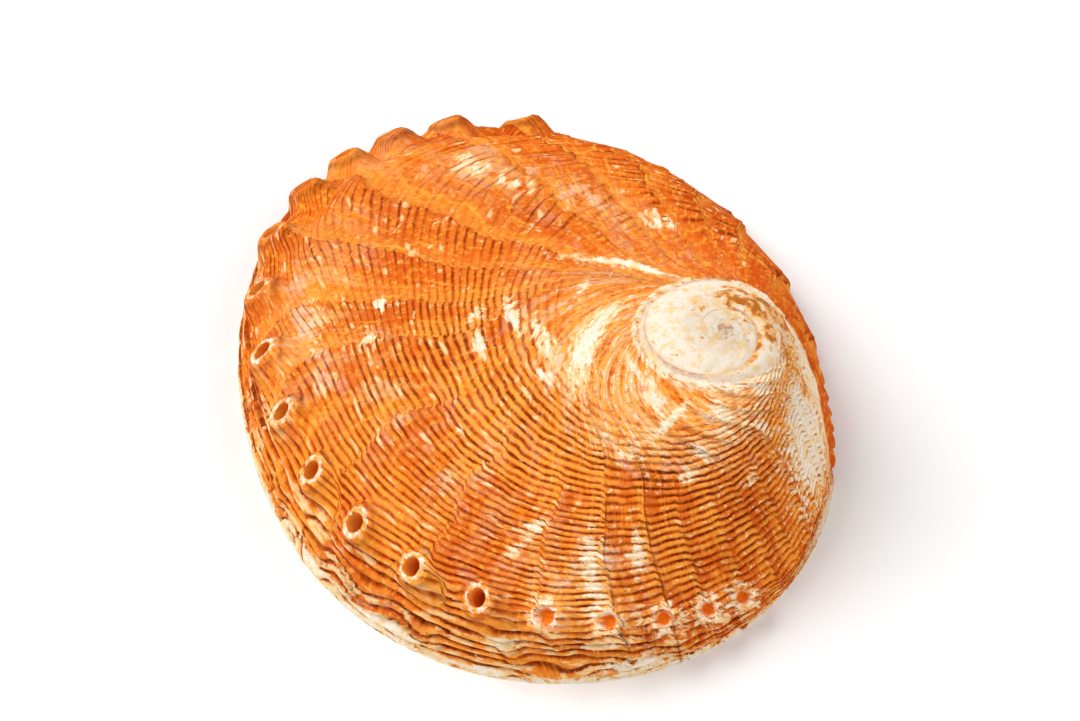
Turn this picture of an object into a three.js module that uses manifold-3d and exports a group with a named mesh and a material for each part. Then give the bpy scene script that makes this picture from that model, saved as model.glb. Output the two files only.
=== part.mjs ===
// Abalone shell: one closed solid in millimetres, +Z up, its rim resting on the plane z = 0.
// The growing end points along +Y, the spire lies towards +X and -Y, and the row of holes runs round -X.
import * as THREE from "three";
import { mergeVertices } from "three/addons/utils/BufferGeometryUtils.js";
import Module from "manifold-3d";

const wasm = await Module();
wasm.setup();

// Outline and dome
const LENGTH = 80; // rim along Y
const WIDTH = 62; // rim along X
const HEIGHT = 21.5; // top of the dome, below the bulge of the spire
const WALL = 1.9; // thickness of the back
const APEX = new THREE.Vector2(16.2, -15.8); // middle of the spire, seen from above
const BACK_CURVE = 1.6; // power of the curve from the spire down to a shoulder at the next distance
const BACK_REACH = 48;
const BACK_ROUNDING = 0.45; // how much fuller the curve is where the shoulder lies closer

// Turns of the spiral, as angles clockwise from where the last suture meets the rim
const SUTURE_END = -20; // degrees, direction of that meeting point seen from the apex
const LIP_START = 250; // degrees on from there, where the growing lip begins
const SUTURE_GROWTH = 0.2; // growth of the suture for each radian
const SUTURE_OFFSET = 0.11; // share by which the spire's turns lie off centre
const SUTURE_OFFSET_TURN = 200; // degrees, the turn at which they lie farthest out
const LIP_SPREAD = 30; // millimetres for each square radian, how the cords fan out towards the lip
const CORD_CROWDING = 1.2; // above 1 the cords lie closer together near the spire

// The shoulder that carries the holes
const SHOULDER_FROM = 55; // degrees, where the shoulder begins to rise
const SHOULDER_SPAN = 186; // degrees, from there to where it has sunk into the lip
const SHOULDER_SKEW = 1.06; // above 1 its highest place lies past the middle
const INSET_SKEW = 1.6; // the same for the place where it lies farthest in from the rim
const SHOULDER_LOW = 1.2; // height of the edge where there is no shoulder
const SHOULDER_RISE = 8.6; // added to that at its highest place
const INSET_LOW = 0.6; // distance from the rim where there is no shoulder
const INSET_RISE = 3; // added to that at its highest place
const SHOULDER_AT = 0.88; // share of a turn's cords that lie above the shoulder

// Ribs and growth ledges
const CORDS = 16;
const CORD_RELIEF = 0.4;
const WALL_RIDGES = 3;
const WALL_RELIEF = 0.7;
const GROWTH_BANDS = 18;
const BAND_RELIEF = 0.5;
const RELIEF_SINK = 0.6; // depth of the lowest grooves below the smooth back
const BAND_STEPS = [0, 0.5, 0.92]; // places of the facets' edges in each growth band
const WORN_UNTIL = 0.05; // share of the last turn over which the ribs rise out of the worn spire
const SPIRE_BULGE = 0.16; // roundness of the spire, as a share of its turns' width
const SPIRE_FADE = 0.3; // share of the last turn over which that roundness dies away
const SPIRE_CREST = 0.7; // below 1 a turn of the spire is roundest on its inner side
const KNOB_MIDDLE = new THREE.Vector2(15.6, -14); // the spire's smooth round knob, seen from above
const KNOB_RADIUS = 7.4;
const KNOB_RISE = 1.3; // height of the knob above the dome
const SPIRE_ROWS = 5;
const TIP_RISE = 0.2; // height of the tip above the innermost suture
const FRILLS = 15; // waves along the growing lip
const FRILL_DEPTH = 0.7;
const FRILL_FROM = 0.9; // share of the last turn from which the edge is wavy
const EDGE_FADE = 2.5; // height over which the relief dies away towards the rim

// Breathing holes
const HOLES = 18;
const CLOSED_HOLES = 5; // the oldest, grown shut to shallow pits
const FIRST_HOLE = 77.5; // degrees
const LAST_HOLE = 241; // degrees
const HOLE_LEAD = 1.2; // degrees by which the holes run ahead of even spacing
const MIDDLE_HOLE_LEAD = 2.4; // degrees more for the holes in the middle of the row
const MIDDLE_NARROWNESS = 4; // how quickly that lead dies away towards the ends
const LATE_HOLE_LEAD = 9.4; // degrees more for the holes past the middle
const HOLE_LEAD_SKEW = 2; // above 1 the greatest late lead lies past the middle
const HOLE_TILT = 48; // degrees above the horizontal, direction in which a hole opens
const TUBE_TOP_RADIUS = 1.7;
const TUBE_FOOT_RADIUS = 3.3;
const TUBE_HEIGHT = 2.2;
const OLD_TUBE_STANDS_OUT = 0.3; // the oldest is worn down
const NEW_TUBE_STANDS_OUT = 1.2;
const BORE_RADIUS = 1.05;
const BORE_DEPTH = 12;
const PIT_DEPTH = 0.9;
const TUBE_SIDES = 10;
const TUBE_CLEARANCE = 0.1; // lowest height of a tube's foot above the plane of the rim
const OLDEST_TUBE_SIZE = 0.7; // size of the oldest tube beside the full-grown ones
const FULL_SIZE_FROM = 0.4; // share of the row from which the tubes are full-grown

// Underside
const LEDGE_LOW = 1.4; // width of the flat rim along the growing lip
const LEDGE_RISE = 3.4; // added to that under the shoulder
const INNER_SHOULDER_INSET = 1.3;
const INNER_RINGS = [0.985, 0.93, 0.82, 0.66, 0.46, 0.24]; // shares of the way from the apex to the ledge

const SHELL_COLOUR = 0xd9772e;

const TURN = Math.PI * 2;
const LIP_START_ANGLE = THREE.MathUtils.degToRad(LIP_START);
const SMALL_ANGLE = 1e-4;
const SMALL_STEP = 2e-3;
const MERGE_DISTANCE = 2e-3;
const HALVINGS = 44;

// The value from which a test holds, between one where it fails and one where it holds, found by halving.
function crossing(low, high, holds) {
  for (let i = 0; i < HALVINGS; i++) {
    const middle = (low + high) / 2;
    if (holds(middle)) high = middle;
    else low = middle;
  }
  return high;
}

// A point seen from above at a turn angle and a reach from the apex.
function planPoint(angle, reach) {
  const direction = THREE.MathUtils.degToRad(SUTURE_END) - angle;
  return new THREE.Vector2(
    APEX.x + reach * Math.cos(direction),
    APEX.y + reach * Math.sin(direction),
  );
}

// Distance from the apex to the oval rim.
function rimReach(angle) {
  const mean = (LENGTH + WIDTH) / 4;
  const oval = (LENGTH - WIDTH) / 4;
  return crossing(0, LENGTH, (reach) => {
    const point = planPoint(angle, reach);
    return point.length() > mean - oval * Math.cos(2 * point.angle());
  });
}

const SUTURE_REACH = rimReach(0);
const LIP_REACH = rimReach(LIP_START_ANGLE);
const LIP_SLOPE = (LIP_REACH - rimReach(LIP_START_ANGLE - SMALL_ANGLE)) / SMALL_ANGLE;

// How far the shoulder stands out, from 0 at its ends to 1.
function shoulder(angle, skew = SHOULDER_SKEW) {
  const share = (THREE.MathUtils.radToDeg(angle) - SHOULDER_FROM) / SHOULDER_SPAN;
  return Math.sin(Math.PI * Math.pow(THREE.MathUtils.clamp(share, 0, 1), skew));
}

function shoulderInset(angle) {
  if (angle < 0) return INSET_LOW * Math.exp(SUTURE_GROWTH * angle);
  return INSET_LOW + INSET_RISE * shoulder(angle, INSET_SKEW);
}

function shoulderHeight(angle) {
  return SHOULDER_LOW + SHOULDER_RISE * shoulder(angle);
}

// Distance from the apex to the suture, a spiral that lies a little off centre.
function sutureReach(angle) {
  const farthest = THREE.MathUtils.degToRad(SUTURE_OFFSET_TURN);
  const offCentre = 1 + SUTURE_OFFSET * Math.cos(angle - farthest);
  const atEnd = 1 + SUTURE_OFFSET * Math.cos(farthest);
  return (SUTURE_REACH * Math.exp(SUTURE_GROWTH * (angle - TURN)) * offCentre) / atEnd;
}

// Distance from the apex to the outer edge of a turn: the next suture, the rim, or past the lip a fan.
function outerReach(angle) {
  if (angle < 0) return sutureReach(angle + TURN);
  if (angle <= LIP_START_ANGLE) return rimReach(angle);
  const past = angle - LIP_START_ANGLE;
  return LIP_REACH + LIP_SLOPE * past + (LIP_SPREAD * past * past) / 2;
}

// Distance from the apex to a cord, which is named by its share of the turn's width.
function cordReach(angle, cord) {
  const inner = sutureReach(angle);
  const outer = outerReach(angle);
  const edge = outer - shoulderInset(angle);
  if (cord <= SHOULDER_AT) {
    return inner + (edge - inner) * Math.pow(cord / SHOULDER_AT, CORD_CROWDING);
  }
  const down = (cord - SHOULDER_AT) / (1 - SHOULDER_AT);
  return edge + (outer - edge) * down * (2 - down);
}

// Turn angle at which a cord ends at the growing lip.
function lipAngle(cord) {
  if (cord >= 1) return LIP_START_ANGLE;
  return crossing(LIP_START_ANGLE, TURN, (angle) => cordReach(angle, cord) >= rimReach(angle));
}

// Height of a section that runs from the top over a shoulder and steeply down to the rim.
function sectionHeight(reach, top, edgeReach, edgeHeight, rim) {
  if (reach <= edgeReach) {
    const fullness = BACK_CURVE * Math.pow(BACK_REACH / edgeReach, BACK_ROUNDING);
    return top - (top - edgeHeight) * Math.pow(reach / edgeReach, fullness);
  }
  return edgeHeight * Math.sqrt(Math.max(0, (rim - reach) / (rim - edgeReach)));
}

// A point of the smooth back. Growth is 1 at the lip, 0 one turn before it and negative on the spire.
function smoothPoint(growth, cord, lip) {
  const angle = growth < 0 ? growth * TURN : growth * lip;
  const around = angle < 0 ? angle + TURN : angle;
  const rim = rimReach(around);
  const wave = 0.5 - 0.5 * Math.cos(TURN * FRILLS * cord);
  const frill = THREE.MathUtils.smoothstep(growth, FRILL_FROM, 1) * FRILL_DEPTH * wave;
  const reach = Math.min(cordReach(angle, cord), rim);
  const edge = rim - shoulderInset(around);
  const height = sectionHeight(reach, HEIGHT, edge, shoulderHeight(around), rim);
  const plan = planPoint(angle, reach - frill);
  const bulge = SPIRE_BULGE * (1 - THREE.MathUtils.smoothstep(growth, 0, SPIRE_FADE));
  const width = outerReach(angle) - sutureReach(angle);
  const rounded = bulge * Math.min(width, SUTURE_REACH) * Math.sin(Math.PI * Math.pow(cord, SPIRE_CREST));
  const settled = THREE.MathUtils.clamp(height / EDGE_FADE, 0, 1);
  const fromKnob = planPoint(angle, reach).distanceTo(KNOB_MIDDLE) / KNOB_RADIUS;
  const knob = KNOB_RISE * Math.sqrt(Math.max(0, 1 - fromKnob ** 2));
  return new THREE.Vector3(plan.x, plan.y, height + knob + rounded * settled);
}

// Height of the ribs, wall ridges and growth ledges beside the smooth back, from which their grooves sink.
function relief(growth, cord) {
  const ribs =
    cord <= SHOULDER_AT
      ? CORD_RELIEF * (0.5 - 0.5 * Math.cos((TURN * CORDS * cord) / SHOULDER_AT))
      : WALL_RELIEF *
        (0.5 - 0.5 * Math.cos((TURN * WALL_RIDGES * (cord - SHOULDER_AT)) / (1 - SHOULDER_AT)));
  const band = (growth * GROWTH_BANDS) % 1;
  const worn = THREE.MathUtils.smoothstep(growth, 0, WORN_UNTIL);
  return worn * (ribs + BAND_RELIEF * band * band - RELIEF_SINK);
}

// A point of the back with its relief, raised along the normal of the smooth back.
function backPoint(growth, cord) {
  if (growth < 0 && cord >= 1) return backPoint(growth + 1, 0);
  const lip = lipAngle(cord);
  const point = smoothPoint(growth, cord, lip);
  if (growth <= 0 || growth >= 1 || cord <= 0 || cord >= 1) return point;
  const step = growth > 0.5 ? -SMALL_STEP : SMALL_STEP;
  const along = smoothPoint(growth + step, cord, lip).sub(point).multiplyScalar(Math.sign(step));
  const side = cord > 0.5 ? -SMALL_STEP : SMALL_STEP;
  const nextCord = cord + side;
  const across = smoothPoint(growth, nextCord, lipAngle(nextCord)).sub(point);
  const normal = along.cross(across.multiplyScalar(Math.sign(side))).normalize();
  const settled = THREE.MathUtils.clamp(point.z / EDGE_FADE, 0, 1);
  return point.addScaledVector(normal, relief(growth, cord) * settled);
}

// Triangles between two lines of points, which may have different numbers of points.
function bridge(left, right, triangles) {
  const leftEnd = left.length - 1;
  const rightEnd = right.length - 1;
  let i = 0;
  let j = 0;
  while (i < leftEnd || j < rightEnd) {
    if (j === rightEnd || (i < leftEnd && (i + 1) * rightEnd <= (j + 1) * leftEnd)) {
      triangles.push(left[i], left[i + 1], right[j]);
      i++;
    } else {
      triangles.push(left[i], right[j + 1], right[j]);
      j++;
    }
  }
}

// A geometry of the given triangles, its equal points joined and its empty triangles left out.
function geometryOf(triangles) {
  const corners = new THREE.BufferGeometry().setFromPoints(triangles);
  const merged = mergeVertices(corners, MERGE_DISTANCE);
  const index = merged.index.array;
  const kept = [];
  for (let i = 0; i < index.length; i += 3) {
    const [a, b, c] = index.slice(i, i + 3);
    if (a !== b && b !== c && c !== a) kept.push(a, b, c);
  }
  merged.setIndex(kept);
  return merged;
}

function solidOf(geometry) {
  const bare = geometry.clone();
  bare.deleteAttribute("normal");
  bare.deleteAttribute("uv");
  const merged = mergeVertices(bare, MERGE_DISTANCE);
  return new wasm.Manifold(
    new wasm.Mesh({
      numProp: 3,
      vertProperties: merged.attributes.position.array,
      triVerts: new Uint32Array(merged.index.array),
    }),
  );
}

// Cords on which the facets' edges lie: the ribs' crests and the grooves between them.
function cordRows() {
  const rows = [];
  for (let i = 0; i < 2 * CORDS; i++) rows.push((SHOULDER_AT * i) / (2 * CORDS));
  for (let i = 0; i <= 2 * WALL_RIDGES; i++) {
    rows.push(SHOULDER_AT + ((1 - SHOULDER_AT) * i) / (2 * WALL_RIDGES));
  }
  return rows;
}

// Shares of one turn at which the facets' edges lie, from 0 up to but without 1.
function growthColumns() {
  const columns = [];
  for (let band = 0; band < GROWTH_BANDS; band++) {
    BAND_STEPS.forEach((step) => columns.push((band + step) / GROWTH_BANDS));
  }
  return columns;
}

// The whole outer side: the spire's turn, the tip that closes it, and the last turn.
function backTriangles(rows, columns, triangles) {
  const lastTurn = [...columns, 1].map((growth) => rows.map((cord) => backPoint(growth, cord)));
  const spireCords = [...Array(SPIRE_ROWS + 1).keys()].map((row) => row / SPIRE_ROWS);
  const spire = columns.map((share) => spireCords.map((cord) => backPoint(share - 1, cord)));
  const turns = [...spire, ...lastTurn];
  for (let i = 1; i < turns.length; i++) bridge(turns[i], turns[i - 1], triangles);
  const tip = new THREE.Vector3(APEX.x, APEX.y, spire[0][0].z + TIP_RISE);
  const innerEdge = [...spire.map((line) => line[0]), lastTurn[0][0]];
  bridge([tip], innerEdge, triangles);
  bridge([tip], [...spire[0]].reverse(), triangles);
  return lastTurn;
}

// The rim as one loop of points: the edge below the holes, then the growing lip back to the suture.
function rimLoop(lastTurn) {
  const outerEdge = lastTurn.map((line) => line[line.length - 1]);
  const lip = [...lastTurn[lastTurn.length - 1]].reverse();
  return [...outerEdge, ...lip.slice(1, -1)];
}

// The flat rim and ledge on which the shell rests, and the hollow above it.
function undersideTriangles(loop, triangles) {
  const rings = [loop, []];
  INNER_RINGS.forEach(() => rings.push([]));
  loop.forEach((point) => {
    const fromApex = new THREE.Vector2(point.x, point.y).sub(APEX);
    const angle = THREE.MathUtils.euclideanModulo(
      THREE.MathUtils.degToRad(SUTURE_END) - fromApex.angle(),
      TURN,
    );
    const ledge = fromApex.length() - LEDGE_LOW - LEDGE_RISE * shoulder(angle);
    const edge = ledge - INNER_SHOULDER_INSET;
    const edgeHeight = Math.max(shoulderHeight(angle) - WALL, SHOULDER_LOW / 2);
    const at = (reach, height) => {
      const plan = planPoint(angle, reach);
      return new THREE.Vector3(plan.x, plan.y, height);
    };
    rings[1].push(at(ledge, 0));
    INNER_RINGS.forEach((share, ring) => {
      const reach = share * ledge;
      const height = sectionHeight(reach, HEIGHT - WALL, edge, edgeHeight, ledge);
      rings[ring + 2].push(at(reach, height));
    });
  });
  const closed = rings.map((ring) => [...ring, ring[0]]);
  for (let i = 1; i < closed.length; i++) bridge(closed[i - 1], closed[i], triangles);
  const top = new THREE.Vector3(APEX.x, APEX.y, HEIGHT - WALL);
  bridge(closed[closed.length - 1], [top], triangles);
}

// A cone or cylinder whose axis runs along a direction, with its middle at a point.
function placedCone(topRadius, footRadius, height, middle, direction) {
  const cone = new THREE.CylinderGeometry(topRadius, footRadius, height, TUBE_SIDES);
  const upright = new THREE.Vector3(0, 1, 0);
  const turnTo = new THREE.Quaternion().setFromUnitVectors(upright, direction);
  cone.applyQuaternion(turnTo);
  cone.translate(middle.x, middle.y, middle.z);
  return solidOf(cone);
}

// One breathing hole: where its tube's mouth lies, its direction and its size.
function holePlace(number) {
  const share = number / (HOLES - 1);
  const late = LATE_HOLE_LEAD * Math.sin(Math.PI * Math.pow(share, HOLE_LEAD_SKEW)) ** 2;
  const middling = MIDDLE_HOLE_LEAD * Math.sin(Math.PI * share) ** MIDDLE_NARROWNESS;
  const lead = HOLE_LEAD * Math.sin(Math.PI * share) + middling + late;
  const angle = THREE.MathUtils.degToRad(THREE.MathUtils.lerp(FIRST_HOLE, LAST_HOLE, share) + lead);
  const plan = planPoint(angle, rimReach(angle) - shoulderInset(angle));
  const heading = THREE.MathUtils.degToRad(SUTURE_END) - angle;
  const tilt = THREE.MathUtils.degToRad(HOLE_TILT);
  const direction = new THREE.Vector3(
    Math.cos(heading) * Math.cos(tilt),
    Math.sin(heading) * Math.cos(tilt),
    Math.sin(tilt),
  );
  const size = THREE.MathUtils.lerp(OLDEST_TUBE_SIZE, 1, Math.min(1, share / FULL_SIZE_FROM));
  const mouth = new THREE.Vector3(plan.x, plan.y, shoulderHeight(angle));
  const standsOut = THREE.MathUtils.lerp(OLD_TUBE_STANDS_OUT, NEW_TUBE_STANDS_OUT, share);
  mouth.addScaledVector(direction, standsOut);
  return { mouth, direction, size };
}

// Everything below the feet of the tubes.
function ground() {
  const slab = new THREE.BoxGeometry(2 * LENGTH, 2 * LENGTH, LENGTH);
  slab.translate(0, 0, TUBE_CLEARANCE - LENGTH / 2);
  return solidOf(slab);
}

// The shell with its row of tubes joined on and their bores and pits cut.
function withHoles(shell) {
  const places = [...Array(HOLES).keys()].map(holePlace);
  const below = ground();
  let solid = shell;
  places.forEach(({ mouth, direction, size }) => {
    const middle = mouth.clone().addScaledVector(direction, (-TUBE_HEIGHT * size) / 2);
    const top = TUBE_TOP_RADIUS * size;
    const foot = TUBE_FOOT_RADIUS * size;
    const tube = placedCone(top, foot, TUBE_HEIGHT * size, middle, direction);
    solid = solid.add(tube.subtract(below));
  });
  places.forEach(({ mouth, direction, size }, number) => {
    const depth = number < CLOSED_HOLES ? 2 * PIT_DEPTH : BORE_DEPTH;
    const radius = BORE_RADIUS * size;
    solid = solid.subtract(placedCone(radius, radius, depth, mouth, direction));
  });
  return solid;
}

function shellGeometry() {
  const triangles = [];
  const lastTurn = backTriangles(cordRows(), growthColumns(), triangles);
  undersideTriangles(rimLoop(lastTurn), triangles);
  const mesh = withHoles(solidOf(geometryOf(triangles))).getMesh();
  const geometry = new THREE.BufferGeometry();
  geometry.setAttribute("position", new THREE.BufferAttribute(mesh.vertProperties, 3));
  geometry.setIndex(new THREE.BufferAttribute(mesh.triVerts, 1));
  geometry.computeVertexNormals();
  return geometry;
}

const shell = new THREE.Mesh(
  shellGeometry(),
  new THREE.MeshStandardMaterial({ color: SHELL_COLOUR, roughness: 0.6, metalness: 0 }),
);
shell.name = "shell";

const abalone = new THREE.Group();
abalone.add(shell);

export default abalone;
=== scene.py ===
"""Abalone shell: the ribbed orange back with its spire and row of holes, and the pearly hollow inside."""

import math

import bmesh
import bpy
import numpy as np
from bpy.props import FloatProperty, FloatVectorProperty, IntProperty, PointerProperty
from mathutils import Matrix, Vector, noise


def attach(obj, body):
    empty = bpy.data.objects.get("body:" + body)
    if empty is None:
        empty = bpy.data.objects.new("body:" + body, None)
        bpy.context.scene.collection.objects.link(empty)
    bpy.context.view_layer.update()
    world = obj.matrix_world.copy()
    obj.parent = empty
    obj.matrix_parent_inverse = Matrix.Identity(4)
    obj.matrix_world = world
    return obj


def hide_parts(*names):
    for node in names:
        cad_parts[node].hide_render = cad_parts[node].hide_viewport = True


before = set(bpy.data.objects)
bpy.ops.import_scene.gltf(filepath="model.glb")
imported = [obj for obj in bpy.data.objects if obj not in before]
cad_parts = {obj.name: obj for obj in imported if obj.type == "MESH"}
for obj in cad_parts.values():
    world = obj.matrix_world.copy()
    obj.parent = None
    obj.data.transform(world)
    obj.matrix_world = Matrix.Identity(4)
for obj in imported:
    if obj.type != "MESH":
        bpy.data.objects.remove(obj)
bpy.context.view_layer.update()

bl_info = {
    "name": "Abalone Shell",
    "version": (1, 0, 0),
    "blender": (4, 5, 0),
    "location": "View3D > Sidebar > Abalone",
    "description": "Grows an abalone shell with its spire, ribs, breathing holes and pearly inside",
    "category": "Add Mesh",
}

# Dome of the back, in metres
APEX = (0.0162, -0.0158)
BACK_CURVE = 1.6
BACK_REACH = 0.048
BACK_ROUNDING = 0.45

# Turns of the spiral, as angles clockwise from where the last suture meets the rim
TURN = 2 * math.pi
SUTURE_END = math.radians(-20)
LIP_START = math.radians(250)
SUTURE_GROWTH = 0.2
SUTURE_OFFSET = 0.11
SUTURE_OFFSET_TURN = math.radians(200)
LIP_SPREAD = 0.030
CORD_CROWDING = 1.2

# The shoulder that carries the holes
SHOULDER_FROM = math.radians(55)
SHOULDER_SPAN = math.radians(186)
SHOULDER_SKEW = 1.06
INSET_SKEW = 1.6
SHOULDER_LOW = 0.0012
SHOULDER_RISE = 0.0086
INSET_LOW = 0.0006
INSET_RISE = 0.003
SHOULDER_AT = 0.88

# Roundness of the spire
SPIRE_BULGE = 0.16
KNOB_MIDDLE = (0.0156, -0.0140)
KNOB_RADIUS = 0.0074
KNOB_EDGE = 0.0006
KNOB_RISE = 0.0013
SPIRE_FADE = 0.3
SPIRE_CREST = 0.7
TIP_ROUNDNESS = 0.15
ROUND_FROM = -0.6
SPIRE_TURNS = 2
SPIRE_ROWS = 10
TIP_RISE = 0.0001
TIP_NEAR = 0.003

# Ribs, growth ledges and lumps
GROWTH_LINES = (
    0.0, 0.05, 0.10, 0.15, 0.20, 0.247, 0.29, 0.335, 0.372, 0.410, 0.452, 0.500,
    0.535, 0.567, 0.582, 0.603, 0.63, 0.687, 0.72, 0.75, 0.78, 0.81, 0.85, 0.90, 1.0)
LINE_STRENGTHS = (
    0.5, 0.6, 0.6, 0.9, 0.5, 1.1, 0.5, 0.5, 1.2, 1.2, 0.4, 0.5,
    0.4, 0.5, 0.5, 0.6, 0.6, 0.7, 0.7, 0.9, 0.8, 1.1, 1.0, 1.2, 1.0)
CORD_DEPTH = 0.00043
CORD_GROOVE = 0.2
CORD_STRENGTH = 0.75
CORD_UNEVENNESS = 0.5
CORD_WOBBLE = 0.3
CORD_CRINKLE = 0.2
CORD_GATHERING = 0.2
CORD_DROP = 0.9
CORD_KINK = 0.5
CORD_FALL = 0.16
CORD_SPLIT = 1.35
SPLIT_LINE = 9
YOUNG_CORD_SPLIT = 1.7
YOUNG_SPLIT_LINE = 13
CORDS_FROM = 0.12
CORDS_FULL_FROM = 0.42
SPIRE_FAINTNESS = 0.85
YOUNG_FAINTNESS = 0.7
YOUNG_STRAIGHTNESS = 0.6
YOUNG_FINENESS = 0.5
YOUNG_CORD_FROM = 0.46
YOUNG_CORD_FULL = 0.70
FOLDS = 17
FOLD_HEIGHT = 0.0003
FOLD_BEND = 0.012
FOLDS_FROM = 0.66
FOLDS_FULL = 0.86
WALL_RIDGES = 6
WALL_DEPTH = 0.0009
WALL_WOBBLE = 1.6
LEDGE_HEIGHT = 0.00055
LEDGE_WOBBLE = 0.18
LEDGE_SHARPNESS = 3
LEDGE_SINK = 0.3
WALL_LEDGE_LOSS = 0.6
LINE_UNEVENNESS = 0.4
LEAST_LINE = 0.1
MOST_LINE = 1.4
LUMP_HEIGHT = 0.0003
KNOB_GROOVE_DEPTH = 0.0002
KNOB_THREAD_HEIGHT = 0.0002
KNOB_THREAD_AT = 0.0081
KNOB_LINE_WIDTH = 0.00035
EARLY_LEAN = 0.15
OLD_LEAN = 0.11
LATE_LEAN = 0.20
MOST_LEAN = 0.4
WORN_FROM = -0.35
WORN_UNTIL = -0.08
EDGE_FADE = 0.0022
RIM_FADE = 0.0012
FRILLS = 15
FRILL_DEPTH = 0.0008
FRILL_FROM = 0.9

# Where the shape of the ribs and growth lines changes: from and to, in growth, age or cord
EARLY_LEAN_CORDS = (0, 0.5)
EARLY_LEAN_ENDS = (0.5, 0.69)
OLD_LEAN_ENDS = (0.2, 0.4)
LATE_LEAN_STARTS = (0.46, 0.64)
LATE_LEAN_CORD = 0.1
FALL_STARTS = (0.66, 0.86)
FALL_CORDS = (0.1, 0.6)
FALL_CORDS_END = (0.8, 0.93)
STRAIGHTER = (0.55, 0.7)
KINK_CORDS = (0.42, 0.6)
KINK_ENDS = (0.62, 0.7)
DROP_STARTS = (0.25, 0.4)
DROP_CORDS = (0.66, SHOULDER_AT)
DROP_CORDS_END = (SHOULDER_AT, 0.93)
WALL_STARTS = (SHOULDER_AT, SHOULDER_AT + 0.02)
FAINT_AGES = (0.66, 0.74)
LUMPS_END = (0, 2 * WORN_UNTIL)

# Random waviness: ripples for each growth, ripples for each cord, and layer of the noise
LEDGE_RIPPLES = (14, 9, 1.5)
WOBBLE_RIPPLES = (28, 12, 4.5)
CRINKLE_RIPPLES = (110, 30, 5.5)
WALL_RIPPLES = (45, 24, 7.5)
CORD_RIPPLES = (30, 25, 11.5)
LINE_RIPPLES = (20, 9, 14.5)
LUMP_RIPPLES = (14, 7, 17.5)
FOLD_RIPPLES = (18, 6, 21.5)

# Breathing holes
FIRST_HOLE = math.radians(77.5)
LAST_HOLE = math.radians(241)
HOLE_LEAD = math.radians(1.2)
MIDDLE_HOLE_LEAD = math.radians(2.4)
MIDDLE_NARROWNESS = 4
LATE_HOLE_LEAD = math.radians(9.4)
HOLE_LEAD_SKEW = 2
HOLE_TILT = math.radians(48)
TUBE_TOP_RADIUS = 0.0017
TUBE_RIM_RADIUS = 0.00135
TUBE_RIM_WIDTH = 0.00045
PIT_FLOOR_RADIUS = 0.0006
CLOSED_RIM_PALENESS = 0.6
TUBE_FOOT_RADIUS = 0.0033
TUBE_NEAR = 0.006
TUBE_UNEVENNESS = 0.14
TUBE_LUMPS = 700
# Dark ring round the foot of an open tube: a brown outline that is also painted contact shadow
TUBE_EDGE_RADIUS = 0.0021
TUBE_EDGE_WIDTH = 0.0003
TUBE_EDGE_DIRT_AND_SHADOW = 0.45
MOUND_RADIUS = 0.0024
OPEN_MOUND_PALENESS = 0.2
CLOSED_MOUND_PALENESS = 0.65
PALE_RIMS_UNTIL = 0.6
ORANGE_RIMS_FROM = 0.78
PALE_RIM_RAISED = (0.5, 0.9)
PIT_COLOURED = (0.45, 0.9)
OLD_TUBE_STANDS_OUT = 0.0006
NEW_TUBE_STANDS_OUT = 0.0014
TUBE_RIM_HEIGHT = 0.00025
OLDEST_TUBE_SIZE = 0.7
FULL_SIZE_FROM = 0.4
BORE_SIDES = 32
BORE_DEPTH = 0.007
PIT_DEPTH = 0.0009

# Underside
LEDGE_LOW = 0.0014
LEDGE_RISE = 0.0034
INNER_SHOULDER_INSET = 0.0013
INNER_RINGS = (0.995, 0.985, 0.965, 0.93, 0.88, 0.82, 0.74, 0.66, 0.56, 0.46, 0.35, 0.24, 0.14, 0.06)

# Density of the mesh
GROWTH_COLUMNS = 240
DENSE_FROM = -0.25
CORD_ROWS = 204
HOLE_GROWTH_SPAN = 0.018
HOLE_CORDS_ABOVE = 0.08
HOLE_CORDS_BELOW = 0.05
MERGE_DISTANCE = 1e-6
HALVINGS = 44
LIP_SAMPLES = 801
SMALL_ANGLE = 1e-4
SMALL_STEP = 5e-4
SMALLEST_LENGTH = 1e-30
HALF_WAY = 0.5
SHARP_EDGE = math.radians(62)

# Paleness outside the patches
SUTURE_PALENESS = 0.6
RIM_PALENESS = 0.75
PALE_RIM_CORDS = (0.975, 0.995)

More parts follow.
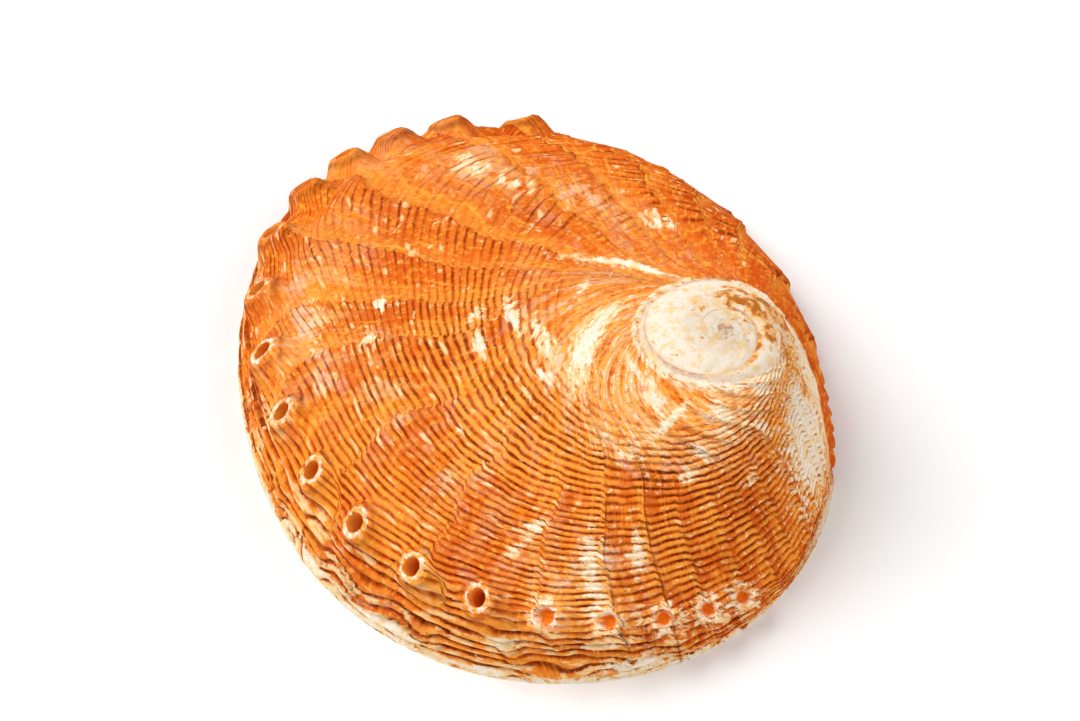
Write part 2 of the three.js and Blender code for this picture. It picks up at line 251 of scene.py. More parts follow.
# Patches on the back: growth, cord, half length along each, lean of growth for each cord, strength
PALE_PATCHES = (
    (-0.12, 0.75, 0.16, 0.25, 0.0, 0.85),
    (0.06, 0.22, 0.12, 0.13, -0.20, 1.0),
    (0.15, 0.28, 0.035, 0.10, -0.25, 0.8),
    (0.05, 0.66, 0.10, 0.19, 0.0, 1.3),
    (0.12, 0.28, 0.10, 0.17, -0.25, 0.5),
    (0.24, 0.36, 0.07, 0.10, -0.25, 0.4),
    (0.03, 0.80, 0.09, 0.08, 0.0, 0.8),
    (0.20, 0.42, 0.020, 0.10, -0.20, 0.6),
    (0.265, 0.25, 0.018, 0.11, -0.20, 0.8),
    (0.31, 0.40, 0.012, 0.06, -0.20, 0.75),
    (0.245, 0.58, 0.012, 0.02, 0.0, 0.8),
    (0.33, 0.47, 0.010, 0.03, 0.0, 0.8),
    (0.355, 0.25, 0.012, 0.10, 0.25, 0.85),
    (0.395, 0.16, 0.012, 0.09, -0.36, 0.9),
    (0.455, 0.11, 0.030, 0.02, -1.0, 0.8),
    (0.545, 0.19, 0.028, 0.10, -0.50, 0.95),
    (0.530, 0.33, 0.016, 0.018, 0.8, 0.95),
    (0.575, 0.30, 0.030, 0.03, 0.8, 0.75),
    (0.620, 0.36, 0.020, 0.02, 0.8, 0.8),
    (0.605, 0.445, 0.014, 0.02, 0.0, 0.9),
    (0.635, 0.44, 0.006, 0.02, 0.0, 0.8),
    (0.690, 0.14, 0.007, 0.15, 0.02, 0.9),
    (0.640, 0.21, 0.020, 0.012, 0.0, 0.6),
    (0.400, 0.40, 0.020, 0.012, -1.5, 0.75),
    (0.383, 0.70, 0.007, 0.07, 0.0, 0.75),
    (0.418, 0.74, 0.009, 0.11, 0.0, 0.8),
    (0.460, 0.68, 0.006, 0.03, 0.2, 0.85),
    (0.470, 0.74, 0.005, 0.03, 0.2, 0.7),
    (0.663, 0.68, 0.005, 0.025, 0.0, 0.85),
    (0.685, 0.645, 0.006, 0.012, 0.0, 0.85),
    (0.550, 0.58, 0.004, 0.010, 0.0, 0.9),
    (0.805, 0.35, 0.012, 0.06, 0.25, 0.6),
    (0.825, 0.71, 0.008, 0.06, 0.30, 0.55),
    (0.800, 0.58, 0.006, 0.05, 0.20, 0.6),
    (0.400, 0.975, 0.030, 0.02, 0.0, 0.9),
    (0.485, 0.935, 0.012, 0.010, 0.0, 0.9),
    (0.430, 0.925, 0.008, 0.008, 0.0, 0.7),
    (0.600, 0.985, 0.10, 0.015, 0.0, 0.7),
    (0.08, 0.95, 0.10, 0.06, 0.0, 0.8),
)
FADED_PATCHES = (
    (0.46, 0.19, 0.20, 0.20, -0.30, 1.0),
    (0.30, 0.22, 0.16, 0.20, -0.20, 1.0),
    (0.10, 0.28, 0.14, 0.26, -0.20, 1.0),
    (0.31, 0.36, 0.08, 0.14, -0.20, 0.7),
    (0.40, 0.34, 0.08, 0.10, 0.0, 1.0),
    (0.43, 0.76, 0.05, 0.12, 0.0, 0.6),
    (0.52, 0.62, 0.08, 0.25, 0.0, 0.3),
    (0.70, 0.78, 0.06, 0.08, 0.0, 0.5),
    (0.805, 0.55, 0.03, 0.35, 0.16, 0.4),
    (0.62, 0.68, 0.05, 0.06, 0.0, 0.5),
)
STAINED_PATCHES = (
    (-0.375, 0.28, 0.04, 0.14, 0.0, 0.8),
    (-0.27, 0.28, 0.05, 0.14, 0.0, 1.0),
    (-0.21, 0.20, 0.07, 0.14, 0.0, 1.1),
    (-0.13, 0.20, 0.09, 0.16, 0.0, 1.1),
    (-0.23, 0.04, 0.08, 0.06, 0.0, 0.7),
    (-0.03, 0.20, 0.06, 0.12, 0.0, 1.0),
    (0.06, 0.03, 0.08, 0.06, 0.0, 1.0),
    (-0.14, 0.42, 0.08, 0.14, 0.0, 1.0),
    (-0.24, 0.46, 0.05, 0.10, 0.0, 0.9),
    (-0.12, 0.60, 0.06, 0.10, 0.0, 0.9),
    (-0.02, 0.40, 0.06, 0.12, 0.0, 0.9),
    (-1.15, 0.60, 0.14, 0.40, 0.0, 0.6),
    (-0.01, 0.58, 0.03, 0.12, 0.0, 0.8),
    (0.13, 0.42, 0.03, 0.06, -0.20, 0.7),
    (0.10, 0.07, 0.08, 0.04, 0.0, 0.7),
    (0.02, 0.42, 0.05, 0.06, -0.30, 0.8),
    (0.15, 0.54, 0.06, 0.04, 0.0, 0.6),
    (0.05, 0.86, 0.12, 0.02, 0.0, 0.6),
)
RUST_PATCHES = (
    (0.27, 0.66, 0.09, 0.20, -0.10, 0.6),
    (0.57, 0.44, 0.16, 0.05, 0.0, 0.5),
    (0.67, 0.58, 0.08, 0.25, 0.10, 0.8),
    (0.745, 0.60, 0.05, 0.30, 0.10, 1.0),
    (0.785, 0.68, 0.03, 0.14, 0.10, 0.7),
    (0.36, 0.46, 0.03, 0.10, 0.0, 0.7),
    (0.87, 0.40, 0.045, 0.50, 0.16, 1.0),
    (0.76, 0.20, 0.05, 0.20, 0.10, 0.7),
    (0.22, 0.14, 0.05, 0.05, 0.0, 0.8),
    (0.97, 0.15, 0.08, 0.30, 0.0, 1.0),
    (0.40, 0.94, 0.30, 0.04, 0.0, 0.9),
    (0.68, 0.95, 0.12, 0.05, 0.0, 0.9),
)

# Clouds of the finishes: stretch along each axis, detail and roughness
STREAKS = ((3.4, 0.10, 1), 4.0, 0.65)
WISPS = ((4.5, 0.14, 1), 4.0, 0.65)
THREADS = ((300, 40, 1), 2.0, 0.55)
TORN = ((4.2, 1.2, 1), 4.0, 0.7)
EACH_RIB = ((1.6, 0.9, 1), 2.0, 0.55)
BLOTCHES = ((0.9, 0.10, 1), 3.0, 0.55)
CELLS = ((4.0, 0.9, 1), 2.0, 0.6)
STRIAE = ((11, 0.18, 1), 3.0, 0.6)
CHUNKS = ((2.4, 0.3, 1), 4.0, 0.7)
FLECKS = ((70, 44, 1), 3.0, 0.6)
WALL_PATCHES = ((38, 60, 1), 3.0, 0.65)
MOTTLE = ((900, 900, 900), 4.0, 0.65)
GRAIN = ((1400, 1400, 1400), 3.0, 0.55)
PEARL_SWIRL = ((55, 55, 90), 2.0, 0.55)
PEARL_GRAIN = ((260, 260, 400), 3.0, 0.55)
BORE_CLOUD = ((400, 400, 400), 3.0, 0.55)
FLOOR_CLOUD = ((3, 3, 3), 2.0, 0.55)
CLOUD_MIDDLE = 0.5

# Layers of the back: two values of what steers a layer, and its share at each where not 0 and 1
RIBBED_CORDS = (0.18, CORDS_FULL_FROM)
WALL_CORDS = (SHOULDER_AT, SHOULDER_AT + 0.03)
FRESH_GROWTH = (0.60, 0.72)
AMBER_STREAKS = (0.38, 0.62)
RUST_BLOTCHES = (0.52, 0.38, 0.0, 0.85)
RUST_STREAKS = (0.66, 0.42, 0.4, 1.0)
RUST_STRIAE = (0.44, 0.64, 0.0, 0.7)
HONEY_STRIAE = (0.46, 0.30, 0.0, 0.75)
# Painted highlight at each band's old edge and painted shade at its young edge, beside the growth ledges
PAINTED_HIGHLIGHT_OLD_EDGE = (0.0, 0.45, 0.4, 0.0)
PAINTED_SHADE_YOUNG_EDGE = (0.35, 1.0, 0.0, 0.75)
HONEY_HAZE = (0.34, 0.54)
CREAM_HAZE = (0.45, 0.60, 0.0, 0.9)
RUST_LEFT_OVER = (0.47, 0.36, 0.0, 0.85)
WORN_WHITE = (0.53, 0.62, 0.0, 0.95)
HONEY_GRAIN = (0.52, 0.68, 0.0, 0.6)
RUST_GRAIN = (0.48, 0.32, 0.0, 0.55)
DIRT = (0.03, 0.21, 1.0, 0.0)
DIRT_OF_EACH_RIB = (0.30, 0.60, 0.2, 1.0)
DIRT_OF_RIBBED = (0.0, 1.0, 0.08, 1.0)
DIRT_OF_STRIAE = (0.36, 0.60, 0.5, 1.0)
DIRT_OF_FRESH_BAND = (0.15, 0.8, 0.1, 1.0)
DIRT_OF_FADED = (0.4, 1.0, 1.0, 0.5)
CREST = (0.12, 0.35)
# Honey on the rib crests: paler crest colour with a painted highlight
CREST_HIGHLIGHT_BLOTCHES = (0.44, 0.62, 0.05, 0.6)
CREST_HIGHLIGHT_OF_FRESH = (0.0, 1.0, 1.0, 0.3)
WORN_CREST = (0.595, 0.70, 0.0, 0.9)
FLANK = (0.05, 0.36, 0.75, 0.0)
FLANK_OF_EACH_RIB = (0.30, 0.60, 0.35, 1.0)
FLANK_OF_STRIAE = (0.36, 0.58, 0.35, 1.0)
FLANK_OF_FRESH = (0.0, 1.0, 1.0, 0.4)
FLANK_OF_FADED = (0.3, 1.0, 1.0, 0.2)
DARKNESS_OF_RUST = (0.0, 0.7, 0.55, 0.9)
DARKNESS_OF_WALL = (0.0, 1.0, 0.0, 0.95)
HAS_PALE = (0.04, 0.2)
CREAM_EDGE = (0.2, 0.55)
CHALK_MOTTLE = (0.34, 0.54)
CHALK = (0.45, 0.68)
CREAM_FLECKS = (0.66, 0.72, 0.0, 0.85)
CREAM_WALL = (0.52, 0.60, 0.0, 0.8)
CLEAN_WALL = (0.6, 0.1)
OLD_SIDE = (0.26, 0.14)
OLD_GROOVES = (0.35, 0.6, 0.2, 0.85)
STAIN_EDGE = (0.35, 0.7, 0.0, 0.8)
STAIN = (0.6, 1.1)
SEAM_CORDS = (0.0, 0.05, 0.7, 0.0)
SEAM_MOTTLE = (0.35, 0.6)
CRACK = (0.92, 0.99)
CRACKED_LINES = (0.75, 1.3)
CRACK_GAPS = (0.3, 0.55)
# Ring round the tube feet: dirt with painted contact shadow
TUBE_FOOT_DIRT_AND_SHADOW = (0.0, -0.7, 0.0, 0.8)
RIM_MOTTLE = (0.40, 0.62, 0.0, 0.55)
RIM_GRAIN = (0.38, 0.62)
PALE_RIM = (0.15, 0.5, 0.0, 0.9)
STRIAE_OF_FADED = (0.2, 0.9, 1.0, 0.1)
BACK_ROUGHNESS = (0.3, 0.7, 0.5, 0.7)

# How strongly one part of the back's finish acts on another
FRAYING = 0.2
RUST_NEARS_GROOVE = -0.06
FRESH_NEARS_GROOVE = 0.07
WEAR_OF_FADED = 0.10
WEAR_OF_RUST = 0.04
WEAR_OF_FRESH = -0.03
RAGGEDNESS = 3.0
PALE_LOST_TO_DIRT = 0.35
STAIN_MOTTLING = 2.0
STAIN_GRAINING = 2.2
CRACK_DARKNESS = 0.8
DIRT_RELIEF = -1.2
FINE_RELIEF = 1.4
BACK_GLOSS = 0.04

# Relief of the finishes: strength, and depth in metres
BACK_BUMP = (0.6, 0.0003)
PEARL_BUMP = (0.2, 0.0006)
BORE_BUMP = (0.3, 0.0003)

# Pearl, bores and floor
PEARL_PINK = (0.80, 0.62, 0.66)
PEARL_GREEN = (0.55, 0.78, 0.70)
PEARL_BLUE = (0.56, 0.66, 0.82)
PINK_BANDS = (0.35, 0.5)
GREEN_BANDS = (0.52, 0.62)
BLUE_BANDS = (0.64, 0.72)
SILVER_GRAIN = (0.5, 0.75, 0.0, 0.5)
PEARL_ROUGHNESS = (0.3, 0.7, 0.16, 0.3)
PEARL_METAL = 0.25
PEARL_COAT = 0.4
PEARL_COAT_ROUGHNESS = 0.1
HONEY_BORE = (0.35, 0.65)
BORE_ROUGHNESS = (0.3, 0.7, 0.4, 0.6)
FLOOR_GREYS = ((0.86, 0.86, 0.86), (0.88, 0.88, 0.88))
FLOOR_SHADES = (0.3, 0.7)
FLOOR_ROUGHNESS = 0.7
PEARL_SLOT = 1
BORE_SLOT = 2

# Sockets of the mixing node
MIX_NUMBER_SOCKETS = (0, 2, 3)
MIX_COLOUR_SOCKETS = (0, 6, 7)
MIXED_COLOUR_SOCKET = 2

# Stage
IMAGE_WIDTH = 1080
PIXELS_PER_METRE = 9360
CAMERA_DISTANCE = 0.5
CAMERA_AZIMUTH = math.radians(-13)
CAMERA_ELEVATION = math.radians(47)
MIDDLE_RIGHT_OF_ORIGIN = 0.00064
MIDDLE_ABOVE_ORIGIN = 0.00369
SENSOR_WIDTH = 0.036
FLOOR_SIZE = 4.0
FLOOR_CELLS = 8
NEAREST_VIEW = 0.01
MILLIMETRES = 1000
STUDIO_STRENGTH = 0.5
KEY_PLACE = (-0.55, 0.25, 0.85)
KEY_SIZE = 0.7
KEY_POWER = 9.0
FILL_PLACE = (0.6, -0.6, 0.7)
FILL_SIZE = 1.2
FILL_POWER = 4.5


class ShellForm(bpy.types.PropertyGroup):
    """Sizes and counts of the shell."""

    length: FloatProperty(
        name="Length", description="Length of the rim", default=0.080, unit="LENGTH")
    width: FloatProperty(
        name="Width", description="Width of the rim", default=0.062, unit="LENGTH")
    height: FloatProperty(
        name="Height", description="Height of the back below the bulge of the spire",
        default=0.0215, unit="LENGTH")
    wall: FloatProperty(
        name="Wall", description="Thickness of the back", default=0.0019, unit="LENGTH")
    bore_radius: FloatProperty(
        name="Bore radius", description="Radius of a full-grown hole", default=0.00105, unit="LENGTH")
    cords: IntProperty(
        name="Cords", description="Main ribs between the spire and the holes", default=34)
    holes: IntProperty(
        name="Holes", description="Breathing holes, open and closed", default=18)
    closed_holes: IntProperty(
        name="Closed holes", description="Oldest holes, grown shut to shallow pits", default=5)


class ShellColours(bpy.types.PropertyGroup):
    """Colours of the back and of the inside."""

    orange: FloatVectorProperty(
        name="Orange", description="Most of the back", default=(0.90, 0.162, 0.006), subtype="COLOR")
    amber: FloatVectorProperty(
        name="Amber", description="Lighter streaks", default=(0.96, 0.235, 0.012), subtype="COLOR")
    # Rust also paints the shade at the young edge of each growth band
    rust: FloatVectorProperty(
        name="Rust", description="Redder parts", default=(0.66, 0.092, 0.004), subtype="COLOR")
    # The groove colour also paints the contact shadow round the tube feet
    groove: FloatVectorProperty(
        name="Groove", description="Dirt in the grooves", default=(0.17, 0.022, 0.001), subtype="COLOR")
    stain: FloatVectorProperty(
        name="Stain", description="Stains on worn parts", default=(0.56, 0.165, 0.016), subtype="COLOR")
    # Honey also paints the highlights at the growth ledges and on the rib crests
    honey: FloatVectorProperty(
        name="Honey", description="Faded places", default=(1.0, 0.42, 0.055), subtype="COLOR")
    cream: FloatVectorProperty(
        name="Cream", description="Edges of the pale patches", default=(0.95, 0.66, 0.32), subtype="COLOR")
    white: FloatVectorProperty(
        name="White", description="Worn chalky places", default=(0.96, 0.84, 0.69), subtype="COLOR")
    pearl: FloatVectorProperty(
        name="Pearl", description="Inside", default=(0.82, 0.80, 0.78), subtype="COLOR")


def smooth_step(value, low, high):
    """A smooth rise from 0 at low to 1 at high."""
    share = np.clip((value - low) / (high - low), 0, 1)
    return share * share * (3 - 2 * share)


def crossing(low, high, holds):
    """The values from which a test holds, found by halving."""
    for _ in range(HALVINGS):
        middle = (low + high) / 2
        found = holds(middle)
        high = np.where(found, middle, high)
        low = np.where(found, low, middle)
    return high


def plan_point(angle, reach):
    """A point seen from above at a turn angle and a reach from the apex."""
    direction = SUTURE_END - angle
    return APEX[0] + reach * np.cos(direction), APEX[1] + reach * np.sin(direction)


def ripples(growth, cord, growth_scale, cord_scale, layer):
    """Smooth random values between -1 and 1 over the back."""
    spots = np.stack([growth * growth_scale, cord * cord_scale, np.full_like(growth, layer)], axis=-1)
    return np.fromiter((noise.noise(spot) for spot in spots), float, len(spots))


class Spiral:
    """The smooth back: a point for each growth, from the tip to the lip, and each cord, out to the rim."""

    def __init__(self, form):
        self.form = form
        self.suture_end_reach = self.rim_reach(np.zeros(1))[0]
        lip_start = np.array([LIP_START])
        before = self.rim_reach(lip_start - SMALL_ANGLE)[0]
        self.lip_reach = self.rim_reach(lip_start)[0]
        self.lip_slope = (self.lip_reach - before) / SMALL_ANGLE
        self.sample_cords = np.linspace(0, 1, LIP_SAMPLES)
        first = np.full(LIP_SAMPLES, LIP_START)
        last = np.full(LIP_SAMPLES, TURN)
        self.sample_angles = crossing(
            first, last,
            lambda angle: self.cord_reach(angle, self.sample_cords) >= self.rim_reach(angle))
        self.sample_angles[-1] = LIP_START

    def rim_reach(self, angle):
        """Distance from the apex to the oval rim."""
        mean = (self.form.length + self.form.width) / 4
        oval = (self.form.length - self.form.width) / 4

        def outside(reach):
            across, along = plan_point(angle, reach)
            return np.hypot(across, along) > mean - oval * np.cos(2 * np.arctan2(along, across))

        return crossing(np.zeros_like(angle), np.full_like(angle, self.form.length), outside)

    @staticmethod
    def shoulder(angle, skew=SHOULDER_SKEW):
        """How far the shoulder stands out, from 0 at its ends to 1."""
        share = np.clip((angle - SHOULDER_FROM) / SHOULDER_SPAN, 0, 1)
        return np.sin(math.pi * share ** skew)

    def shoulder_inset(self, angle):
        """Distance of the shoulder from the rim, or of a spire turn's edge from its suture."""
        on_spire = INSET_LOW * np.exp(SUTURE_GROWTH * np.minimum(angle, 0))
        return np.where(angle < 0, on_spire, INSET_LOW + INSET_RISE * self.shoulder(angle, INSET_SKEW))

    def shoulder_height(self, angle):
        """Height of the shoulder above the rim."""
        return SHOULDER_LOW + SHOULDER_RISE * self.shoulder(angle)

    def suture_reach(self, angle):
        """Distance from the apex to the suture, a spiral that lies a little off centre."""
        off_centre = 1 + SUTURE_OFFSET * np.cos(angle - SUTURE_OFFSET_TURN)
        at_end = 1 + SUTURE_OFFSET * math.cos(SUTURE_OFFSET_TURN)
        return self.suture_end_reach * np.exp(SUTURE_GROWTH * (angle - TURN)) * off_centre / at_end

    def outer_reach(self, angle):
        """Distance from the apex to a turn's outer edge: the next suture, the rim, or past it a fan."""
        past = angle - LIP_START
        fan = self.lip_reach + self.lip_slope * past + LIP_SPREAD * past * past / 2
        on_back = np.where(angle <= LIP_START, self.rim_reach(angle), fan)
        return np.where(angle < 0, self.suture_reach(angle + TURN), on_back)

    def cord_reach(self, angle, cord):
        """Distance from the apex to a cord, which is named by its share of the turn's width."""
        inner = self.suture_reach(angle)
        outer = self.outer_reach(angle)
        edge = outer - self.shoulder_inset(angle)
        above = inner + (edge - inner) * np.clip(cord / SHOULDER_AT, 0, 1) ** CORD_CROWDING
        down = np.clip((cord - SHOULDER_AT) / (1 - SHOULDER_AT), 0, 1)
        return np.where(cord <= SHOULDER_AT, above, edge + (outer - edge) * down * (2 - down))

    def turn_angle(self, growth, cord):
        """Angle of a growth on a cord, which ends at the lip."""
        lip = np.interp(cord, self.sample_cords, self.sample_angles)
        return np.where(growth < 0, growth * TURN, growth * lip)

    @staticmethod
    def section_height(reach, top, edge_reach, edge_height, rim):
        """Height of a section that runs from the top over a shoulder and steeply down to the rim."""
        fullness = BACK_CURVE * (BACK_REACH / edge_reach) ** BACK_ROUNDING
        dome = top - (top - edge_height) * np.clip(reach / edge_reach, 0, 1) ** fullness
        side = edge_height * np.sqrt(np.clip((rim - reach) / (rim - edge_reach), 0, 1))
        return np.where(reach <= edge_reach, dome, side)

    def point(self, growth, cord):
        """Points of the smooth back."""
        angle = self.turn_angle(growth, cord)
        around = np.mod(angle, TURN)
        around = np.where((angle > 0) & (around == 0), TURN, around)
        rim = self.rim_reach(around)
        wave = 0.5 - 0.5 * np.cos(TURN * FRILLS * cord)
        frill = smooth_step(growth, FRILL_FROM, 1) * FRILL_DEPTH * wave
        reach = np.minimum(self.cord_reach(angle, cord), rim)
        edge = rim - self.shoulder_inset(around)
        height = self.section_height(reach, self.form.height, edge, self.shoulder_height(around), rim)
        across, along = plan_point(angle, reach - frill)
        bulge = SPIRE_BULGE * (1 - smooth_step(growth, 0, SPIRE_FADE))
        bulge *= TIP_ROUNDNESS + (1 - TIP_ROUNDNESS) * smooth_step(growth, ROUND_FROM, 0)
        width = self.outer_reach(angle) - self.suture_reach(angle)
        crest = np.sin(math.pi * np.clip(cord, 0, 1) ** SPIRE_CREST)
        rounded = bulge * np.minimum(width, self.suture_end_reach) * crest
        settled = np.clip(height / EDGE_FADE, 0, 1)
        from_knob = np.hypot(across - KNOB_MIDDLE[0], along - KNOB_MIDDLE[1])
        knob = KNOB_RISE * np.sqrt(np.clip(1 - (from_knob / KNOB_RADIUS) ** 2, 0, 1))
        return np.stack([across, along, height + knob + rounded * settled], axis=-1)

    def normal(self, growth, cord):
        """Outward directions of the smooth back."""
        step = np.where(growth > HALF_WAY, -SMALL_STEP, SMALL_STEP)
        side = np.where(cord > HALF_WAY, -SMALL_STEP, SMALL_STEP)
        here = self.point(growth, cord)
        along = (self.point(growth + step, cord) - here) * np.sign(step)[:, None]
        across = (self.point(growth, cord + side) - here) * np.sign(side)[:, None]
        facing = np.cross(along, across)
        return facing / np.maximum(np.linalg.norm(facing, axis=-1, keepdims=True), SMALLEST_LENGTH)


def growth_age(growth, cord):
    """Growth of the old lip line through a point: the lines lean near the spire and towards the lip."""
    near_spire = EARLY_LEAN * (1 - smooth_step(cord, *EARLY_LEAN_CORDS))
    on_old_side = OLD_LEAN * (SHOULDER_AT - cord)
    out_at_rim = LATE_LEAN * np.clip((cord - LATE_LEAN_CORD) / (SHOULDER_AT - LATE_LEAN_CORD), 0, 1)

    def reached(age):
        early = near_spire * (1 - smooth_step(age, *EARLY_LEAN_ENDS))
        old = on_old_side * (1 - smooth_step(age, *OLD_LEAN_ENDS))
        late = out_at_rim * smooth_step(age, *LATE_LEAN_STARTS)
        return age + early + old + late >= growth

    return crossing(growth - MOST_LEAN, growth, reached)


def rib_phases(form, growth, cord):
    """Running numbers of the growth ledge and of the rib at each point, with their waviness."""
    lines = (-SPIRE_TURNS,) + GROWTH_LINES
    numbers = (-SPIRE_TURNS * len(GROWTH_LINES),) + tuple(range(len(GROWTH_LINES)))
    bands = np.interp(growth_age(growth, cord), lines, numbers)
    bands += LEDGE_WOBBLE * ripples(growth, cord, *LEDGE_RIPPLES)
    in_band = np.mod(bands, 1)
    fall = CORD_FALL * smooth_step(growth, *FALL_STARTS) * smooth_step(cord, *FALL_CORDS)
    fall *= 1 - smooth_step(cord, *FALL_CORDS_END)
    share = np.clip((cord - fall) / SHOULDER_AT, 0, 1)
    ribs = form.cords * share * (1 - CORD_GATHERING + CORD_GATHERING * share * share)
    straight = 1 - YOUNG_STRAIGHTNESS * smooth_step(growth, *STRAIGHTER)
    ribs += CORD_WOBBLE * straight * ripples(growth, cord, *WOBBLE_RIPPLES)
    ribs += CORD_CRINKLE * straight * ripples(growth, cord, *CRINKLE_RIPPLES)
    kink = CORD_KINK * smooth_step(cord, *KINK_CORDS) * (1 - smooth_step(growth, *KINK_ENDS))
    drop = np.maximum(kink, CORD_DROP * smooth_step(cord, *DROP_CORDS))
    drop *= in_band * smooth_step(growth, *DROP_STARTS)
    ribs -= drop * (1 - smooth_step(cord, *DROP_CORDS_END))
    wall = np.clip((cord - SHOULDER_AT) / (1 - SHOULDER_AT), 0, 1)
    ribs += wall * (WALL_RIDGES + WALL_WOBBLE * ripples(growth, cord, *WALL_RIPPLES))
    return bands, ribs


def line_strength(growth, cord, bands):
    """How strong the growth line at the young end of each band is."""
    line = np.clip(np.floor(bands) + 1, 0, len(LINE_STRENGTHS) - 1).astype(int)
    uneven = LINE_UNEVENNESS * ripples(growth, cord, *LINE_RIPPLES)
    return np.clip(np.array(LINE_STRENGTHS)[line] + uneven, LEAST_LINE, MOST_LINE)


def back_relief(growth, cord, bands, ribs, from_knob):
    """Height of the ribs, wall ridges, growth ledges, folds and spire lumps above the smooth back."""
    in_rib = np.mod(np.where(bands > SPLIT_LINE, CORD_SPLIT * ribs, ribs), 1)
    groove = np.exp(-(np.minimum(in_rib, 1 - in_rib) / CORD_GROOVE) ** 2)
    strength = CORD_STRENGTH + CORD_UNEVENNESS * ripples(growth, cord, *CORD_RIPPLES)
    on_wall = smooth_step(cord, *WALL_STARTS)
    near_spire = 1 - smooth_step(cord, CORDS_FROM, CORDS_FULL_FROM)
    depth = CORD_DEPTH * (1 - SPIRE_FAINTNESS * near_spire)
    depth *= 1 - (1 - YOUNG_FINENESS) * smooth_step(growth, YOUNG_CORD_FROM, YOUNG_CORD_FULL)
    depth = depth + (WALL_DEPTH - depth) * on_wall
    faint = 1 - YOUNG_FAINTNESS * smooth_step(growth_age(growth, cord), *FAINT_AGES)
    cords = -depth * strength * faint * groove
    ledge = np.mod(bands, 1) ** LEDGE_SHARPNESS - LEDGE_SINK
    ledges = LEDGE_HEIGHT * line_strength(growth, cord, bands) * ledge * (1 - WALL_LEDGE_LOSS * on_wall)
    lumps = LUMP_HEIGHT * ripples(growth, cord, *LUMP_RIPPLES) * smooth_step(growth, *LUMPS_END)
    bent = cord + FOLD_BEND * ripples(growth, cord, *FOLD_RIPPLES)
    folds = FOLD_HEIGHT * np.cos(TURN * FOLDS * bent) * smooth_step(growth, FOLDS_FROM, FOLDS_FULL)
    knob_lines = KNOB_THREAD_HEIGHT * np.exp(-((from_knob - KNOB_THREAD_AT) / KNOB_LINE_WIDTH) ** 2)
    knob_lines -= KNOB_GROOVE_DEPTH * np.exp(-((from_knob - KNOB_RADIUS) / KNOB_LINE_WIDTH) ** 2)
    worn = smooth_step(growth, WORN_FROM, WORN_UNTIL)
    worn *= smooth_step(from_knob, KNOB_RADIUS - KNOB_EDGE, KNOB_RADIUS + KNOB_EDGE)
    return knob_lines + worn * (cords + ledges) + lumps + folds


